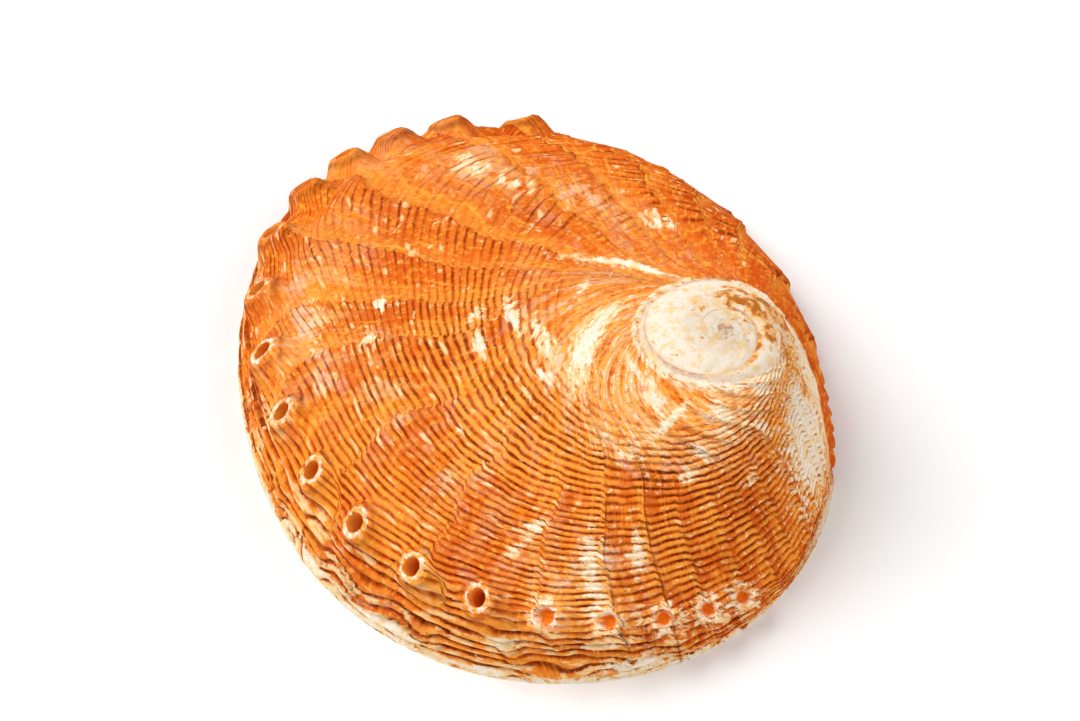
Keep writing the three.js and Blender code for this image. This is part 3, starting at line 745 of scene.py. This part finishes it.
class Hole:
    """One breathing hole: its place on the shoulder, its direction and its size."""

    def __init__(self, spiral, number):
        form = spiral.form
        share = number / (form.holes - 1)
        lead = HOLE_LEAD * math.sin(math.pi * share)
        lead += MIDDLE_HOLE_LEAD * math.sin(math.pi * share) ** MIDDLE_NARROWNESS
        lead += LATE_HOLE_LEAD * math.sin(math.pi * share ** HOLE_LEAD_SKEW) ** 2
        angle = np.array([FIRST_HOLE + (LAST_HOLE - FIRST_HOLE) * share + lead])
        reach = spiral.rim_reach(angle) - spiral.shoulder_inset(angle)
        across, along = plan_point(angle, reach)
        heading = SUTURE_END - angle[0]
        level = math.cos(HOLE_TILT)
        self.direction = Vector(
            (math.cos(heading) * level, math.sin(heading) * level, math.sin(HOLE_TILT)))
        self.foot = Vector((across[0], along[0], spiral.shoulder_height(angle)[0]))
        self.size = OLDEST_TUBE_SIZE + (1 - OLDEST_TUBE_SIZE) * min(1, share / FULL_SIZE_FROM)
        self.stands_out = OLD_TUBE_STANDS_OUT + (NEW_TUBE_STANDS_OUT - OLD_TUBE_STANDS_OUT) * share
        self.open = number >= form.closed_holes
        self.number = number
        self.rim_paleness = 1 - smooth_step(share, PALE_RIMS_UNTIL, ORANGE_RIMS_FROM)
        self.growth = angle[0] / spiral.turn_angle(np.ones(1), np.array([SHOULDER_AT]))[0]

    def shape(self, points, tube, mound, pit):
        """Raise a flat-topped tube out of the points near the hole, and mark its rim, its pale mound and,
        round open tubes, a dark ring that is partly dirt and partly painted contact shadow.
        """
        chosen = np.flatnonzero(np.linalg.norm(points - np.array(self.foot), axis=1) < TUBE_NEAR)
        offset = points[chosen] - np.array(self.foot)
        axis = np.array(self.direction)
        along = offset @ axis
        from_axis = np.linalg.norm(offset - along[:, None] * axis, axis=1) / self.size
        bumps = [noise.noise(spot * TUBE_LUMPS + self.number) for spot in offset]
        from_axis *= 1 + TUBE_UNEVENNESS * np.array(bumps)
        raised = 1 - smooth_step(from_axis, TUBE_TOP_RADIUS, TUBE_FOOT_RADIUS)
        raised *= smooth_step(points[chosen, 2], 0, RIM_FADE)
        rim = np.exp(-((from_axis - TUBE_RIM_RADIUS) / TUBE_RIM_WIDTH) ** 2)
        target = self.stands_out + TUBE_RIM_HEIGHT * rim
        if not self.open:
            target = target - PIT_DEPTH * (1 - smooth_step(from_axis, PIT_FLOOR_RADIUS, TUBE_RIM_RADIUS))
        lift = np.where(from_axis < TUBE_TOP_RADIUS, target - along, np.maximum(target - along, 0))
        points[chosen] += (lift * raised)[:, None] * axis
        mound_paleness = OPEN_MOUND_PALENESS if self.open else CLOSED_MOUND_PALENESS
        mound[chosen] += mound_paleness * self.rim_paleness * np.exp(-(from_axis / MOUND_RADIUS) ** 2)
        # Dark ring just outside the rim: partly dirt, partly painted contact shadow
        edge = np.exp(-((from_axis - TUBE_EDGE_RADIUS) / TUBE_EDGE_WIDTH) ** 2)
        pale_rim = self.rim_paleness * rim * smooth_step(raised, *PALE_RIM_RAISED)
        if self.open:
            tube[chosen] += pale_rim - TUBE_EDGE_DIRT_AND_SHADOW * edge
        else:
            tube[chosen] += CLOSED_RIM_PALENESS * pale_rim
            inside = 1 - smooth_step(from_axis, PIT_FLOOR_RADIUS, TUBE_RIM_RADIUS)
            pit[chosen] = np.maximum(pit[chosen], smooth_step(inside, *PIT_COLOURED))


def patched(growth, cord, patches):
    """The strongest of some soft patches at each point of the back."""
    shade = np.zeros_like(growth)
    for middle, middle_cord, half_growth, half_cord, lean, strength in patches:
        off_cord = cord - middle_cord
        off_growth = growth - middle - lean * off_cord
        patch = strength * np.exp(-(off_growth / half_growth) ** 2 - (off_cord / half_cord) ** 2)
        shade = np.maximum(shade, patch)
    return shade


def paleness(growth, cord, from_knob):
    """Share of chalky white at each point of the back: the worn spire, the rim and the pale patches."""
    knob = 1 - smooth_step(from_knob, KNOB_RADIUS, KNOB_RADIUS + KNOB_EDGE)
    suture = SUTURE_PALENESS * (1 - smooth_step(from_knob, KNOB_THREAD_AT, KNOB_THREAD_AT + KNOB_EDGE))
    rim = RIM_PALENESS * smooth_step(cord, *PALE_RIM_CORDS)
    marks = patched(growth, cord, PALE_PATCHES)
    return np.maximum.reduce([knob, suture, rim, marks])


def parameter_grid(bm, first, last, columns, rows):
    """A flat grid whose x is growth and whose y is cord."""
    placed = Matrix.Translation(((first + last) / 2, 0.5, 0)) @ Matrix.Diagonal((last - first, 1, 1, 1))
    return bmesh.ops.create_grid(bm, x_segments=columns, y_segments=rows, size=0.5, matrix=placed)["verts"]


def column_edges(verts, growth):
    """Edges of a grid that lie on one growth."""
    chosen = {vert for vert in verts if abs(vert.co.x - growth) < SMALL_STEP}
    edges = {edge for vert in chosen for edge in vert.link_edges}
    return [edge for edge in edges if edge.verts[0] in chosen and edge.verts[1] in chosen]


def refine_holes(bm, holes):
    """Split the faces around each hole."""
    edges = set()
    for face in bm.faces:
        middle = face.calc_center_median()
        if not SHOULDER_AT - HOLE_CORDS_ABOVE < middle.y < SHOULDER_AT + HOLE_CORDS_BELOW:
            continue
        if any(abs(middle.x - hole.growth) < HOLE_GROWTH_SPAN * hole.size for hole in holes):
            edges.update(face.edges)
    bmesh.ops.subdivide_edges(bm, edges=list(edges), cuts=1, use_grid_fill=True)


def lay_back(bm, spiral, holes):
    """Make the outer side in the flat, keep its growth and cord as maps, and bend it into the shell."""
    form = spiral.form
    gap = 1 / GROWTH_COLUMNS
    spire_end = DENSE_FROM - gap
    spire_columns = round((SPIRE_TURNS + spire_end) * GROWTH_COLUMNS)
    dense_columns = round((1 - DENSE_FROM) * GROWTH_COLUMNS)
    spire = parameter_grid(bm, -SPIRE_TURNS, spire_end, spire_columns, SPIRE_ROWS)
    last_turn = parameter_grid(bm, DENSE_FROM, 1, dense_columns, CORD_ROWS)
    seam = column_edges(spire, spire_end) + column_edges(last_turn, DENSE_FROM)
    bmesh.ops.bridge_loops(bm, edges=seam)
    refine_holes(bm, holes)
    bm.verts.index_update()
    flat = np.array([vert.co[:2] for vert in bm.verts], dtype=float)
    bands, ribs = rib_phases(form, flat[:, 0], flat[:, 1])
    growth_map = bm.loops.layers.uv.new("growth")
    rib_map = bm.loops.layers.uv.new("ribs")
    for face in bm.faces:
        for loop in face.loops:
            number = loop.vert.index
            loop[growth_map].uv = flat[number]
            loop[rib_map].uv = (bands[number], ribs[number])
    inner_edge = (flat[:, 0] < 0) & (flat[:, 1] >= 1 - SMALL_STEP)
    growth = np.where(inner_edge, flat[:, 0] + 1, flat[:, 0])
    cord = np.where(inner_edge, 0, np.clip(flat[:, 1], 0, 1))
    points = spiral.point(growth, cord)
    on_edge = (cord <= 0) | (cord >= 1) | (growth >= 1 - SMALL_STEP)
    bands, ribs = rib_phases(form, growth, cord)
    from_knob = np.hypot(points[:, 0] - KNOB_MIDDLE[0], points[:, 1] - KNOB_MIDDLE[1])
    relief = np.where(on_edge, 0, back_relief(growth, cord, bands, ribs, from_knob))
    relief *= np.clip(points[:, 2] / EDGE_FADE, 0, 1)
    points += relief[:, None] * spiral.normal(growth, cord)
    tube = np.zeros(len(points))
    mound = np.zeros(len(points))
    pit = np.zeros(len(points))
    for hole in holes:
        hole.shape(points, tube, mound, pit)
    points[:, 2] = np.maximum(points[:, 2], 0)
    shades = {
        "pale": paleness(growth, cord, from_knob) + mound,
        "rust": patched(growth, cord, RUST_PATCHES),
        "faded": patched(growth, cord, FADED_PATCHES),
        "stained": patched(growth, cord, STAINED_PATCHES),
        "cracked": line_strength(growth, cord, bands),
        "knob": 1 - smooth_step(from_knob, KNOB_RADIUS - KNOB_EDGE, KNOB_RADIUS + KNOB_EDGE),
        "tube": tube,
        "pit": pit,
    }
    layers = {name: bm.verts.layers.float.new(name) for name in shades}
    for number, vert in enumerate(bm.verts):
        vert.co = points[number]
        for name, layer in layers.items():
            vert[layer] = shades[name][number]
    bmesh.ops.remove_doubles(bm, verts=bm.verts[:], dist=MERGE_DISTANCE)


def extrude_ring(bm, edges):
    """Extrude a loop of edges and give the new vertices and edges."""
    made = bmesh.ops.extrude_edge_only(bm, edges=edges)["geom"]
    verts = [item for item in made if isinstance(item, bmesh.types.BMVert)]
    ring = [item for item in made if isinstance(item, bmesh.types.BMEdge) and item.is_boundary]
    return verts, ring


def close_tip(bm):
    """Close the innermost turn of the spire to a point."""
    open_edges = [
        edge for edge in bm.edges
        if edge.is_boundary and math.dist(edge.verts[0].co[:2], APEX) < TIP_NEAR]
    verts, _ = extrude_ring(bm, open_edges)
    top = max(vert.co.z for vert in verts)
    bmesh.ops.pointmerge(bm, verts=verts, merge_co=Vector((APEX[0], APEX[1], top + TIP_RISE)))


def line_inside(bm, spiral):
    """Add the flat ledge under the rim and the hollow above it."""
    edges = [edge for edge in bm.edges if edge.is_boundary]
    outer = set(bm.faces)
    ledge_layer = bm.verts.layers.float.new("ledge")
    for share in (1.0,) + INNER_RINGS:
        verts, edges = extrude_ring(bm, edges)
        offset = np.array([vert.co[:2] for vert in verts]) - np.array(APEX)
        angle = np.mod(SUTURE_END - np.arctan2(offset[:, 1], offset[:, 0]), TURN)
        if share == 1.0:
            ledge = np.hypot(offset[:, 0], offset[:, 1]) - LEDGE_LOW - LEDGE_RISE * spiral.shoulder(angle)
        else:
            ledge = np.array([vert[ledge_layer] for vert in verts])
        edge_reach = ledge - INNER_SHOULDER_INSET
        edge_height = np.maximum(spiral.shoulder_height(angle) - spiral.form.wall, SHOULDER_LOW / 2)
        top = spiral.form.height - spiral.form.wall
        reach = share * ledge
        height = spiral.section_height(reach, top, edge_reach, edge_height, ledge)
        across, along = plan_point(angle, reach)
        for vert, x, y, z, rest in zip(verts, across, along, height, ledge):
            vert.co = (x, y, z)
            vert[ledge_layer] = rest
    bmesh.ops.pointmerge(bm, verts=verts, merge_co=Vector((APEX[0], APEX[1], top)))
    for face in bm.faces:
        if face not in outer:
            face.material_index = PEARL_SLOT


def bore_cutters(form, holes):
    """Round cutters for the open holes, as one mesh object."""
    bm = bmesh.new()
    for hole in holes:
        if not hole.open:
            continue
        turned = hole.direction.to_track_quat("Z", "Y").to_matrix().to_4x4()
        placed = Matrix.Translation(hole.foot) @ turned
        bmesh.ops.create_cone(
            bm, cap_ends=True, segments=BORE_SIDES, radius1=form.bore_radius * hole.size,
            radius2=form.bore_radius * hole.size, depth=2 * BORE_DEPTH, matrix=placed)
    for face in bm.faces:
        face.material_index = BORE_SLOT
    mesh = bpy.data.meshes.new("bore_cutters")
    bm.to_mesh(mesh)
    bm.free()
    return bpy.data.objects.new("bore_cutters", mesh)


def cut_bores(shell, cutters):
    """Cut the bores out of the shell and apply the result to its mesh."""
    collection = bpy.context.scene.collection
    collection.objects.link(cutters)
    cut = shell.modifiers.new("bores", "BOOLEAN")
    cut.operation = "DIFFERENCE"
    cut.solver = "MANIFOLD"
    cut.object = cutters
    bpy.context.view_layer.update()
    whole = shell.evaluated_get(bpy.context.evaluated_depsgraph_get())
    bored = bpy.data.meshes.new_from_object(whole)
    shell.modifiers.remove(cut)
    old = shell.data
    shell.data = bored
    bpy.data.meshes.remove(old)
    cutter_mesh = cutters.data
    bpy.data.objects.remove(cutters)
    bpy.data.meshes.remove(cutter_mesh)


class Finish:
    """Adds nodes to one material, links them and keeps its base colour."""

    def __init__(self, name):
        self.material = bpy.data.materials.new(name)
        self.material.use_nodes = True
        self.tree = self.material.node_tree
        self.shader = self.tree.nodes["Principled BSDF"]
        self.place = self.node("ShaderNodeTexCoord").outputs["Object"]
        self.base = None

    def node(self, kind, sockets=(), **settings):
        """A node with its settings, and its sockets by name given a value or another socket."""
        made = self.tree.nodes.new(kind)
        for name, value in settings.items():
            setattr(made, name, value)
        for name, value in sockets:
            self.give(made.inputs[name], value)
        return made

    def give(self, socket, value):
        """Link a socket to another one, or set its value."""
        if isinstance(value, bpy.types.NodeSocket):
            self.tree.links.new(value, socket)
        elif socket.type == "RGBA":
            socket.default_value = (*value, 1.0)
        else:
            socket.default_value = value

    def math(self, operation, *numbers):
        """A number worked out from others."""
        return self.node("ShaderNodeMath", tuple(enumerate(numbers)), operation=operation).outputs[0]

    def times(self, product, *numbers):
        """The product of some numbers."""
        for number in numbers:
            product = self.math("MULTIPLY", product, number)
        return product

    def rest(self, share):
        """What a share leaves of the whole."""
        return self.math("SUBTRACT", 1.0, share)

    def stir(self, cloud, amount, number):
        """A number moved up and down by a cloud."""
        return self.math("MULTIPLY_ADD", self.math("SUBTRACT", cloud, CLOUD_MIDDLE), amount, number)

    def shade(self, name):
        """One of the shades kept on the mesh."""
        return self.node("ShaderNodeAttribute", attribute_name=name).outputs["Fac"]

    def split(self, place):
        """The first two numbers of a place."""
        return self.node("ShaderNodeSeparateXYZ", ((0, place),)).outputs[:2]

    def rise(self, value, low, high, start=0.0, end=1.0):
        """A smooth rise from start at low to end at high."""
        return self.node(
            "ShaderNodeMapRange",
            (("Value", value), ("From Min", low), ("From Max", high), ("To Min", start), ("To Max", end)),
            interpolation_type="SMOOTHSTEP").outputs[0]

    def mix_numbers(self, share, first, second):
        """A number between two others."""
        sockets = tuple(zip(MIX_NUMBER_SOCKETS, (share, first, second)))
        return self.node("ShaderNodeMix", sockets, data_type="FLOAT").outputs[0]

    def mix(self, share, first, second):
        """A colour between two others."""
        made = self.node("ShaderNodeMix", data_type="RGBA")
        for number, value in zip(MIX_COLOUR_SOCKETS, (share, first, second)):
            self.give(made.inputs[number], value)
        return made.outputs[MIXED_COLOUR_SOCKET]

    def cover(self, share, colour):
        """Lay a colour over the base colour by a share."""
        self.base = self.mix(share, self.base, colour)

    def clouds(self, place, stretch, detail, roughness):
        """Cloudy values over a place, stretched along each axis."""
        stretched = self.node("ShaderNodeMapping", (("Vector", place), ("Scale", stretch))).outputs[0]
        sockets = (("Vector", stretched), ("Scale", 1.0), ("Detail", detail), ("Roughness", roughness))
        return self.node("ShaderNodeTexNoise", sockets).outputs[0]

    def dress(self, roughness, relief, bump_strength, bump_depth, **constants):
        """Give the shader its base colour, roughness and relief, and its constant sockets by name."""
        sockets = (("Strength", bump_strength), ("Distance", bump_depth), ("Height", relief))
        bump = self.node("ShaderNodeBump", sockets).outputs[0]
        inputs = self.shader.inputs
        for name, value in (("Base Color", self.base), ("Roughness", roughness), ("Normal", bump)):
            self.give(inputs[name], value)
        for name, value in constants.items():
            self.give(inputs[name.replace("_", " ")], value)
        return self.material


def back_finish(colours):
    """Orange back: streaks, rust, dirt in the grooves, chalky patches, stains and pale tube rims, with
    painted highlight and shade at the growth ledges, a painted highlight on the rib crests and painted
    contact shadow round the tube feet.
    """
    paint = Finish("shell_back")
    growth = paint.node("ShaderNodeUVMap", uv_map="growth").outputs[0]
    ribs = paint.node("ShaderNodeUVMap", uv_map="ribs").outputs[0]
    band, rib = paint.split(ribs)
    age, cord = paint.split(growth)
    streaks = paint.clouds(ribs, *STREAKS)
    wisps = paint.clouds(ribs, *WISPS)
    threads = paint.clouds(growth, *THREADS)
    torn = paint.clouds(ribs, *TORN)
    each_rib = paint.clouds(ribs, *EACH_RIB)
    blotches = paint.clouds(ribs, *BLOTCHES)
    cells = paint.clouds(ribs, *CELLS)
    striae = paint.clouds(ribs, *STRIAE)
    chunks = paint.clouds(ribs, *CHUNKS)
    flecks = paint.clouds(growth, *FLECKS)
    wall_patches = paint.clouds(growth, *WALL_PATCHES)
    mottle = paint.clouds(paint.place, *MOTTLE)
    grain = paint.clouds(paint.place, *GRAIN)
    in_band = paint.math("FRACT", band)
    middle_side = paint.math("GREATER_THAN", band, SPLIT_LINE)
    young_side = paint.math("GREATER_THAN", band, YOUNG_SPLIT_LINE)
    split = paint.math("MULTIPLY_ADD", middle_side, CORD_SPLIT - 1, 1.0)
    split = paint.math("MULTIPLY_ADD", young_side, YOUNG_CORD_SPLIT - CORD_SPLIT, split)
    in_rib = paint.math("FRACT", paint.times(rib, split))
    from_groove = paint.math("MINIMUM", in_rib, paint.rest(in_rib))
    ribbed = paint.rise(cord, *RIBBED_CORDS)
    body = paint.rest(paint.shade("knob"))
    on_wall = paint.rise(cord, *WALL_CORDS)
    fresh = paint.times(paint.rise(age, *FRESH_GROWTH), paint.rest(on_wall))
    rust = paint.shade("rust")
    faded = paint.shade("faded")

    # Streaks of orange, amber and rust along the growth lines, faded near the spire, with painted highlight
    # and painted shade at each growth ledge
    paint.base = paint.mix(paint.rise(streaks, *AMBER_STREAKS), colours.orange, colours.amber)
    ageing = paint.math("ADD", rust, paint.rise(blotches, *RUST_BLOTCHES))
    paint.cover(paint.times(ageing, paint.rise(streaks, *RUST_STREAKS)), colours.rust)
    paint.cover(paint.rise(striae, *RUST_STRIAE), colours.rust)
    paint.cover(paint.rise(striae, *HONEY_STRIAE), colours.honey)
    # Painted highlight in honey at each band's old edge, painted shade in rust at its young edge
    paint.cover(paint.rise(in_band, *PAINTED_HIGHLIGHT_OLD_EDGE), colours.honey)
    paint.cover(paint.rise(in_band, *PAINTED_SHADE_YOUNG_EDGE), colours.rust)
    paint.cover(paint.times(faded, paint.rise(torn, *HONEY_HAZE)), colours.honey)
    paint.cover(paint.times(faded, paint.rise(wisps, *CREAM_HAZE)), colours.cream)
    paint.cover(paint.times(faded, paint.rise(chunks, *RUST_LEFT_OVER)), colours.rust)
    paint.cover(paint.times(faded, paint.rise(chunks, *WORN_WHITE)), colours.white)
    paint.cover(paint.rise(grain, *HONEY_GRAIN), colours.honey)
    paint.cover(paint.rise(grain, *RUST_GRAIN), colours.rust)

    # Lighter crests, partly the shell's own colour and partly painted highlight, and dark grooves of the
    # ribs
    frayed = paint.stir(threads, FRAYING, from_groove)
    frayed = paint.math("MULTIPLY_ADD", rust, RUST_NEARS_GROOVE, frayed)
    frayed = paint.math("MULTIPLY_ADD", fresh, FRESH_NEARS_GROOVE, frayed)
    main_dirt = paint.rise(frayed, *DIRT)
    dirt = paint.times(
        main_dirt,
        paint.rise(each_rib, *DIRT_OF_EACH_RIB),
        paint.rise(ribbed, *DIRT_OF_RIBBED),
        paint.rise(striae, *DIRT_OF_STRIAE),
        paint.mix_numbers(fresh, 1.0, paint.rise(in_band, *DIRT_OF_FRESH_BAND)),
        paint.rise(faded, *DIRT_OF_FADED),
        body)
    crest = paint.times(paint.rise(from_groove, *CREST), ribbed)
    # Honey on the rib crests in blotches: paler crest colour with a painted highlight
    crest_colour_and_highlight = paint.times(crest, paint.rise(blotches, *CREST_HIGHLIGHT_BLOTCHES), paint.rise(fresh, *CREST_HIGHLIGHT_OF_FRESH))
    paint.cover(crest_colour_and_highlight, colours.honey)
    wear = paint.math("MULTIPLY_ADD", faded, WEAR_OF_FADED, cells)
    wear = paint.math("MULTIPLY_ADD", rust, WEAR_OF_RUST, wear)
    wear = paint.math("MULTIPLY_ADD", fresh, WEAR_OF_FRESH, wear)
    paint.cover(paint.times(crest, paint.rise(wear, *WORN_CREST)), colours.cream)
    flank = paint.times(
        paint.rise(frayed, *FLANK),
        ribbed,
        body,
        paint.rise(each_rib, *FLANK_OF_EACH_RIB),
        paint.rise(striae, *FLANK_OF_STRIAE),
        paint.rise(fresh, *FLANK_OF_FRESH),
        paint.rise(faded, *FLANK_OF_FADED))
    paint.cover(flank, colours.rust)
    darkness = paint.rise(rust, *DARKNESS_OF_RUST)
    darkness = paint.math("MAXIMUM", darkness, paint.rise(on_wall, *DARKNESS_OF_WALL))
    paint.cover(paint.times(dirt, darkness), colours.groove)

    # Chalky patches with ragged cream edges, flecks and the pale places of the wall
    pale = paint.shade("pale")
    ragged = paint.stir(torn, RAGGEDNESS, pale)
    ragged = paint.math("SUBTRACT", ragged, paint.times(dirt, PALE_LOST_TO_DIRT))
    has_pale = paint.rise(pale, *HAS_PALE)
    paint.cover(paint.times(has_pale, paint.rise(ragged, *CREAM_EDGE)), colours.cream)
    chalk = paint.mix(paint.rise(mottle, *CHALK_MOTTLE), colours.cream, colours.white)
    paint.cover(paint.times(has_pale, paint.rise(ragged, *CHALK)), chalk)
    paint.cover(paint.rise(flecks, *CREAM_FLECKS), colours.cream)
    wall_pale = paint.times(on_wall, paint.rise(wall_patches, *CREAM_WALL), paint.rise(dirt, *CLEAN_WALL))
    paint.cover(wall_pale, colours.cream)
    old_side = paint.rise(age, *OLD_SIDE)
    old_grooves = paint.times(main_dirt, body, old_side, ribbed, paint.rise(each_rib, *OLD_GROOVES))
    paint.cover(old_grooves, colours.stain)

    # Stains with a honey edge, closed pits, the seam of the spire, cracks, tube rims and the dark ring
    # round the tube feet, partly dirt and partly painted contact shadow
    spotted = paint.stir(mottle, STAIN_MOTTLING, paint.shade("stained"))
    spotted = paint.stir(grain, STAIN_GRAINING, spotted)
    paint.cover(paint.rise(spotted, *STAIN_EDGE), colours.honey)
    paint.cover(paint.rise(spotted, *STAIN), colours.stain)
    paint.cover(paint.shade("pit"), colours.amber)
    seam = paint.times(paint.shade("knob"), paint.rise(cord, *SEAM_CORDS), paint.rise(mottle, *SEAM_MOTTLE))
    paint.cover(seam, colours.stain)
    crack = paint.times(
        paint.rise(in_band, *CRACK),
        paint.rise(paint.shade("cracked"), *CRACKED_LINES),
        ribbed,
        paint.rise(torn, *CRACK_GAPS),
        CRACK_DARKNESS)
    paint.cover(crack, colours.groove)
    tube = paint.shade("tube")
    # Groove colour on the ring round each open tube's foot: dirt with painted contact shadow
    paint.cover(paint.rise(tube, *TUBE_FOOT_DIRT_AND_SHADOW), colours.groove)
    rim = paint.math("SUBTRACT", tube, paint.rise(mottle, *RIM_MOTTLE))
    rim_colour = paint.mix(paint.rise(grain, *RIM_GRAIN), colours.honey, colours.white)
    paint.cover(paint.rise(rim, *PALE_RIM), rim_colour)

    rough = paint.math("ADD", threads, grain)
    rough = paint.math("MULTIPLY_ADD", dirt, DIRT_RELIEF, rough)
    fine = paint.math("SUBTRACT", mottle, paint.times(striae, paint.rise(faded, *STRIAE_OF_FADED)))
    rough = paint.math("MULTIPLY_ADD", fine, FINE_RELIEF, rough)
    return paint.dress(paint.rise(grain, *BACK_ROUGHNESS), rough, *BACK_BUMP, Specular_IOR_Level=BACK_GLOSS)


def pearl_finish(colours):
    """Pearly inside: soft bands of pink, green and blue over silver."""
    paint = Finish("shell_pearl")
    swirl = paint.clouds(paint.place, *PEARL_SWIRL)
    fine = paint.clouds(paint.place, *PEARL_GRAIN)
    paint.base = paint.mix(paint.rise(swirl, *PINK_BANDS), PEARL_PINK, colours.pearl)
    paint.cover(paint.rise(swirl, *GREEN_BANDS), PEARL_GREEN)
    paint.cover(paint.rise(swirl, *BLUE_BANDS), PEARL_BLUE)
    paint.cover(paint.rise(fine, *SILVER_GRAIN), colours.pearl)
    return paint.dress(
        paint.rise(fine, *PEARL_ROUGHNESS), fine, *PEARL_BUMP, Metallic=PEARL_METAL,
        Coat_Weight=PEARL_COAT, Coat_Roughness=PEARL_COAT_ROUGHNESS)


def bore_finish(colours):
    """Walls of the bores: amber with honey clouds."""
    paint = Finish("shell_bore")
    cloud = paint.clouds(paint.place, *BORE_CLOUD)
    paint.base = paint.mix(paint.rise(cloud, *HONEY_BORE), colours.amber, colours.honey)
    return paint.dress(paint.rise(cloud, *BORE_ROUGHNESS), cloud, *BORE_BUMP)


def floor_finish():
    """Plain pale floor."""
    paint = Finish("floor")
    cloud = paint.clouds(paint.place, *FLOOR_CLOUD)
    base = paint.mix(paint.rise(cloud, *FLOOR_SHADES), *FLOOR_GREYS)
    paint.give(paint.shader.inputs["Base Color"], base)
    paint.give(paint.shader.inputs["Roughness"], FLOOR_ROUGHNESS)
    return paint.material


class ABALONE_OT_shell(bpy.types.Operator):
    """Grow the shell with its ribs, holes and pearly inside"""

    bl_idname = "abalone.shell"
    bl_label = "Grow Shell"

    def execute(self, context):
        form = context.scene.shell_form
        colours = context.scene.shell_colours
        spiral = Spiral(form)
        holes = [Hole(spiral, number) for number in range(form.holes)]
        bm = bmesh.new()
        lay_back(bm, spiral, holes)
        close_tip(bm)
        line_inside(bm, spiral)
        bmesh.ops.recalc_face_normals(bm, faces=bm.faces[:])
        open_edges = sum(1 for edge in bm.edges if not edge.is_manifold)
        if open_edges:
            raise RuntimeError(f"the shell has {open_edges} open edges")
        mesh = bpy.data.meshes.new("shell_grown")
        bm.to_mesh(mesh)
        bm.free()
        shell = bpy.data.objects.new("shell_grown", mesh)
        context.scene.collection.objects.link(shell)
        cutters = bore_cutters(form, holes)
        finishes = (back_finish(colours), pearl_finish(colours), bore_finish(colours))
        for piece in (shell, cutters):
            for finish in finishes:
                piece.data.materials.append(finish)
        cut_bores(shell, cutters)
        shell.data.shade_smooth()
        shell.data.set_sharp_from_angle(angle=SHARP_EDGE)
        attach(shell, "root")
        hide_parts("shell")
        return {"FINISHED"}


class ABALONE_OT_stage(bpy.types.Operator):
    """Lay the floor, set the lights and place the camera"""

    bl_idname = "abalone.stage"
    bl_label = "Set Stage"

    def execute(self, context):
        scene = context.scene
        bm = bmesh.new()
        bmesh.ops.create_grid(bm, x_segments=FLOOR_CELLS, y_segments=FLOOR_CELLS, size=FLOOR_SIZE / 2)
        mesh = bpy.data.meshes.new("floor")
        bm.to_mesh(mesh)
        bm.free()
        floor = bpy.data.objects.new("floor", mesh)
        floor.data.materials.append(floor_finish())
        scene.collection.objects.link(floor)
        self.add_light(scene, "key", KEY_PLACE, KEY_SIZE, KEY_POWER)
        self.add_light(scene, "fill", FILL_PLACE, FILL_SIZE, FILL_POWER)
        world = bpy.data.worlds.new("studio")
        world.use_nodes = True
        background = world.node_tree.nodes["Background"]
        background.inputs["Color"].default_value = (1, 1, 1, 1)
        background.inputs["Strength"].default_value = STUDIO_STRENGTH
        scene.world = world
        scene.view_settings.view_transform = "Standard"
        self.add_camera(scene)
        return {"FINISHED"}

    @staticmethod
    def add_light(scene, name, place, size, power):
        """A square soft light that faces the origin."""
        lamp = bpy.data.lights.new(name, "AREA")
        lamp.size = size
        lamp.energy = power
        light = bpy.data.objects.new(name, lamp)
        light.location = place
        light.rotation_euler = (-Vector(place)).to_track_quat("-Z", "Y").to_euler()
        scene.collection.objects.link(light)

    @staticmethod
    def add_camera(scene):
        """The camera at the photograph's angle and distance."""
        level = math.cos(CAMERA_ELEVATION)
        back = Vector((
            math.sin(CAMERA_AZIMUTH) * level,
            -math.cos(CAMERA_AZIMUTH) * level,
            math.sin(CAMERA_ELEVATION)))
        turned = (-back).to_track_quat("-Z", "Y")
        aim = turned @ Vector((MIDDLE_RIGHT_OF_ORIGIN, MIDDLE_ABOVE_ORIGIN, 0))
        lens = bpy.data.cameras.new("camera")
        lens.sensor_width = SENSOR_WIDTH * MILLIMETRES
        lens.lens = PIXELS_PER_METRE * CAMERA_DISTANCE / IMAGE_WIDTH * SENSOR_WIDTH * MILLIMETRES
        lens.clip_start = NEAREST_VIEW
        camera = bpy.data.objects.new("camera", lens)
        camera.location = aim + back * CAMERA_DISTANCE
        camera.rotation_euler = turned.to_euler()
        scene.collection.objects.link(camera)
        scene.camera = camera


class ABALONE_PT_panel(bpy.types.Panel):
    """Sizes, colours and steps of the abalone shell"""

    bl_idname = "ABALONE_PT_panel"
    bl_label = "Abalone Shell"
    bl_space_type = "VIEW_3D"
    bl_region_type = "UI"
    bl_category = "Abalone"

    def draw(self, context):
        for group in (context.scene.shell_form, context.scene.shell_colours):
            for name in group.__annotations__:
                self.layout.prop(group, name)
        self.layout.operator(ABALONE_OT_shell.bl_idname)
        self.layout.operator(ABALONE_OT_stage.bl_idname)


CLASSES = (ShellForm, ShellColours, ABALONE_OT_shell, ABALONE_OT_stage, ABALONE_PT_panel)


def register():
    """Add the classes, and their values to the scene."""
    for kind in CLASSES:
        bpy.utils.register_class(kind)
    bpy.types.Scene.shell_form = PointerProperty(type=ShellForm)
    bpy.types.Scene.shell_colours = PointerProperty(type=ShellColours)


def unregister():
    """Take the values and classes away again."""
    del bpy.types.Scene.shell_colours
    del bpy.types.Scene.shell_form
    for kind in reversed(CLASSES):
        bpy.utils.unregister_class(kind)


def main():
    """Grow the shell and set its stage."""
    register()
    bpy.ops.abalone.shell()
    bpy.ops.abalone.stage()


if __name__ == "__main__":
    main()
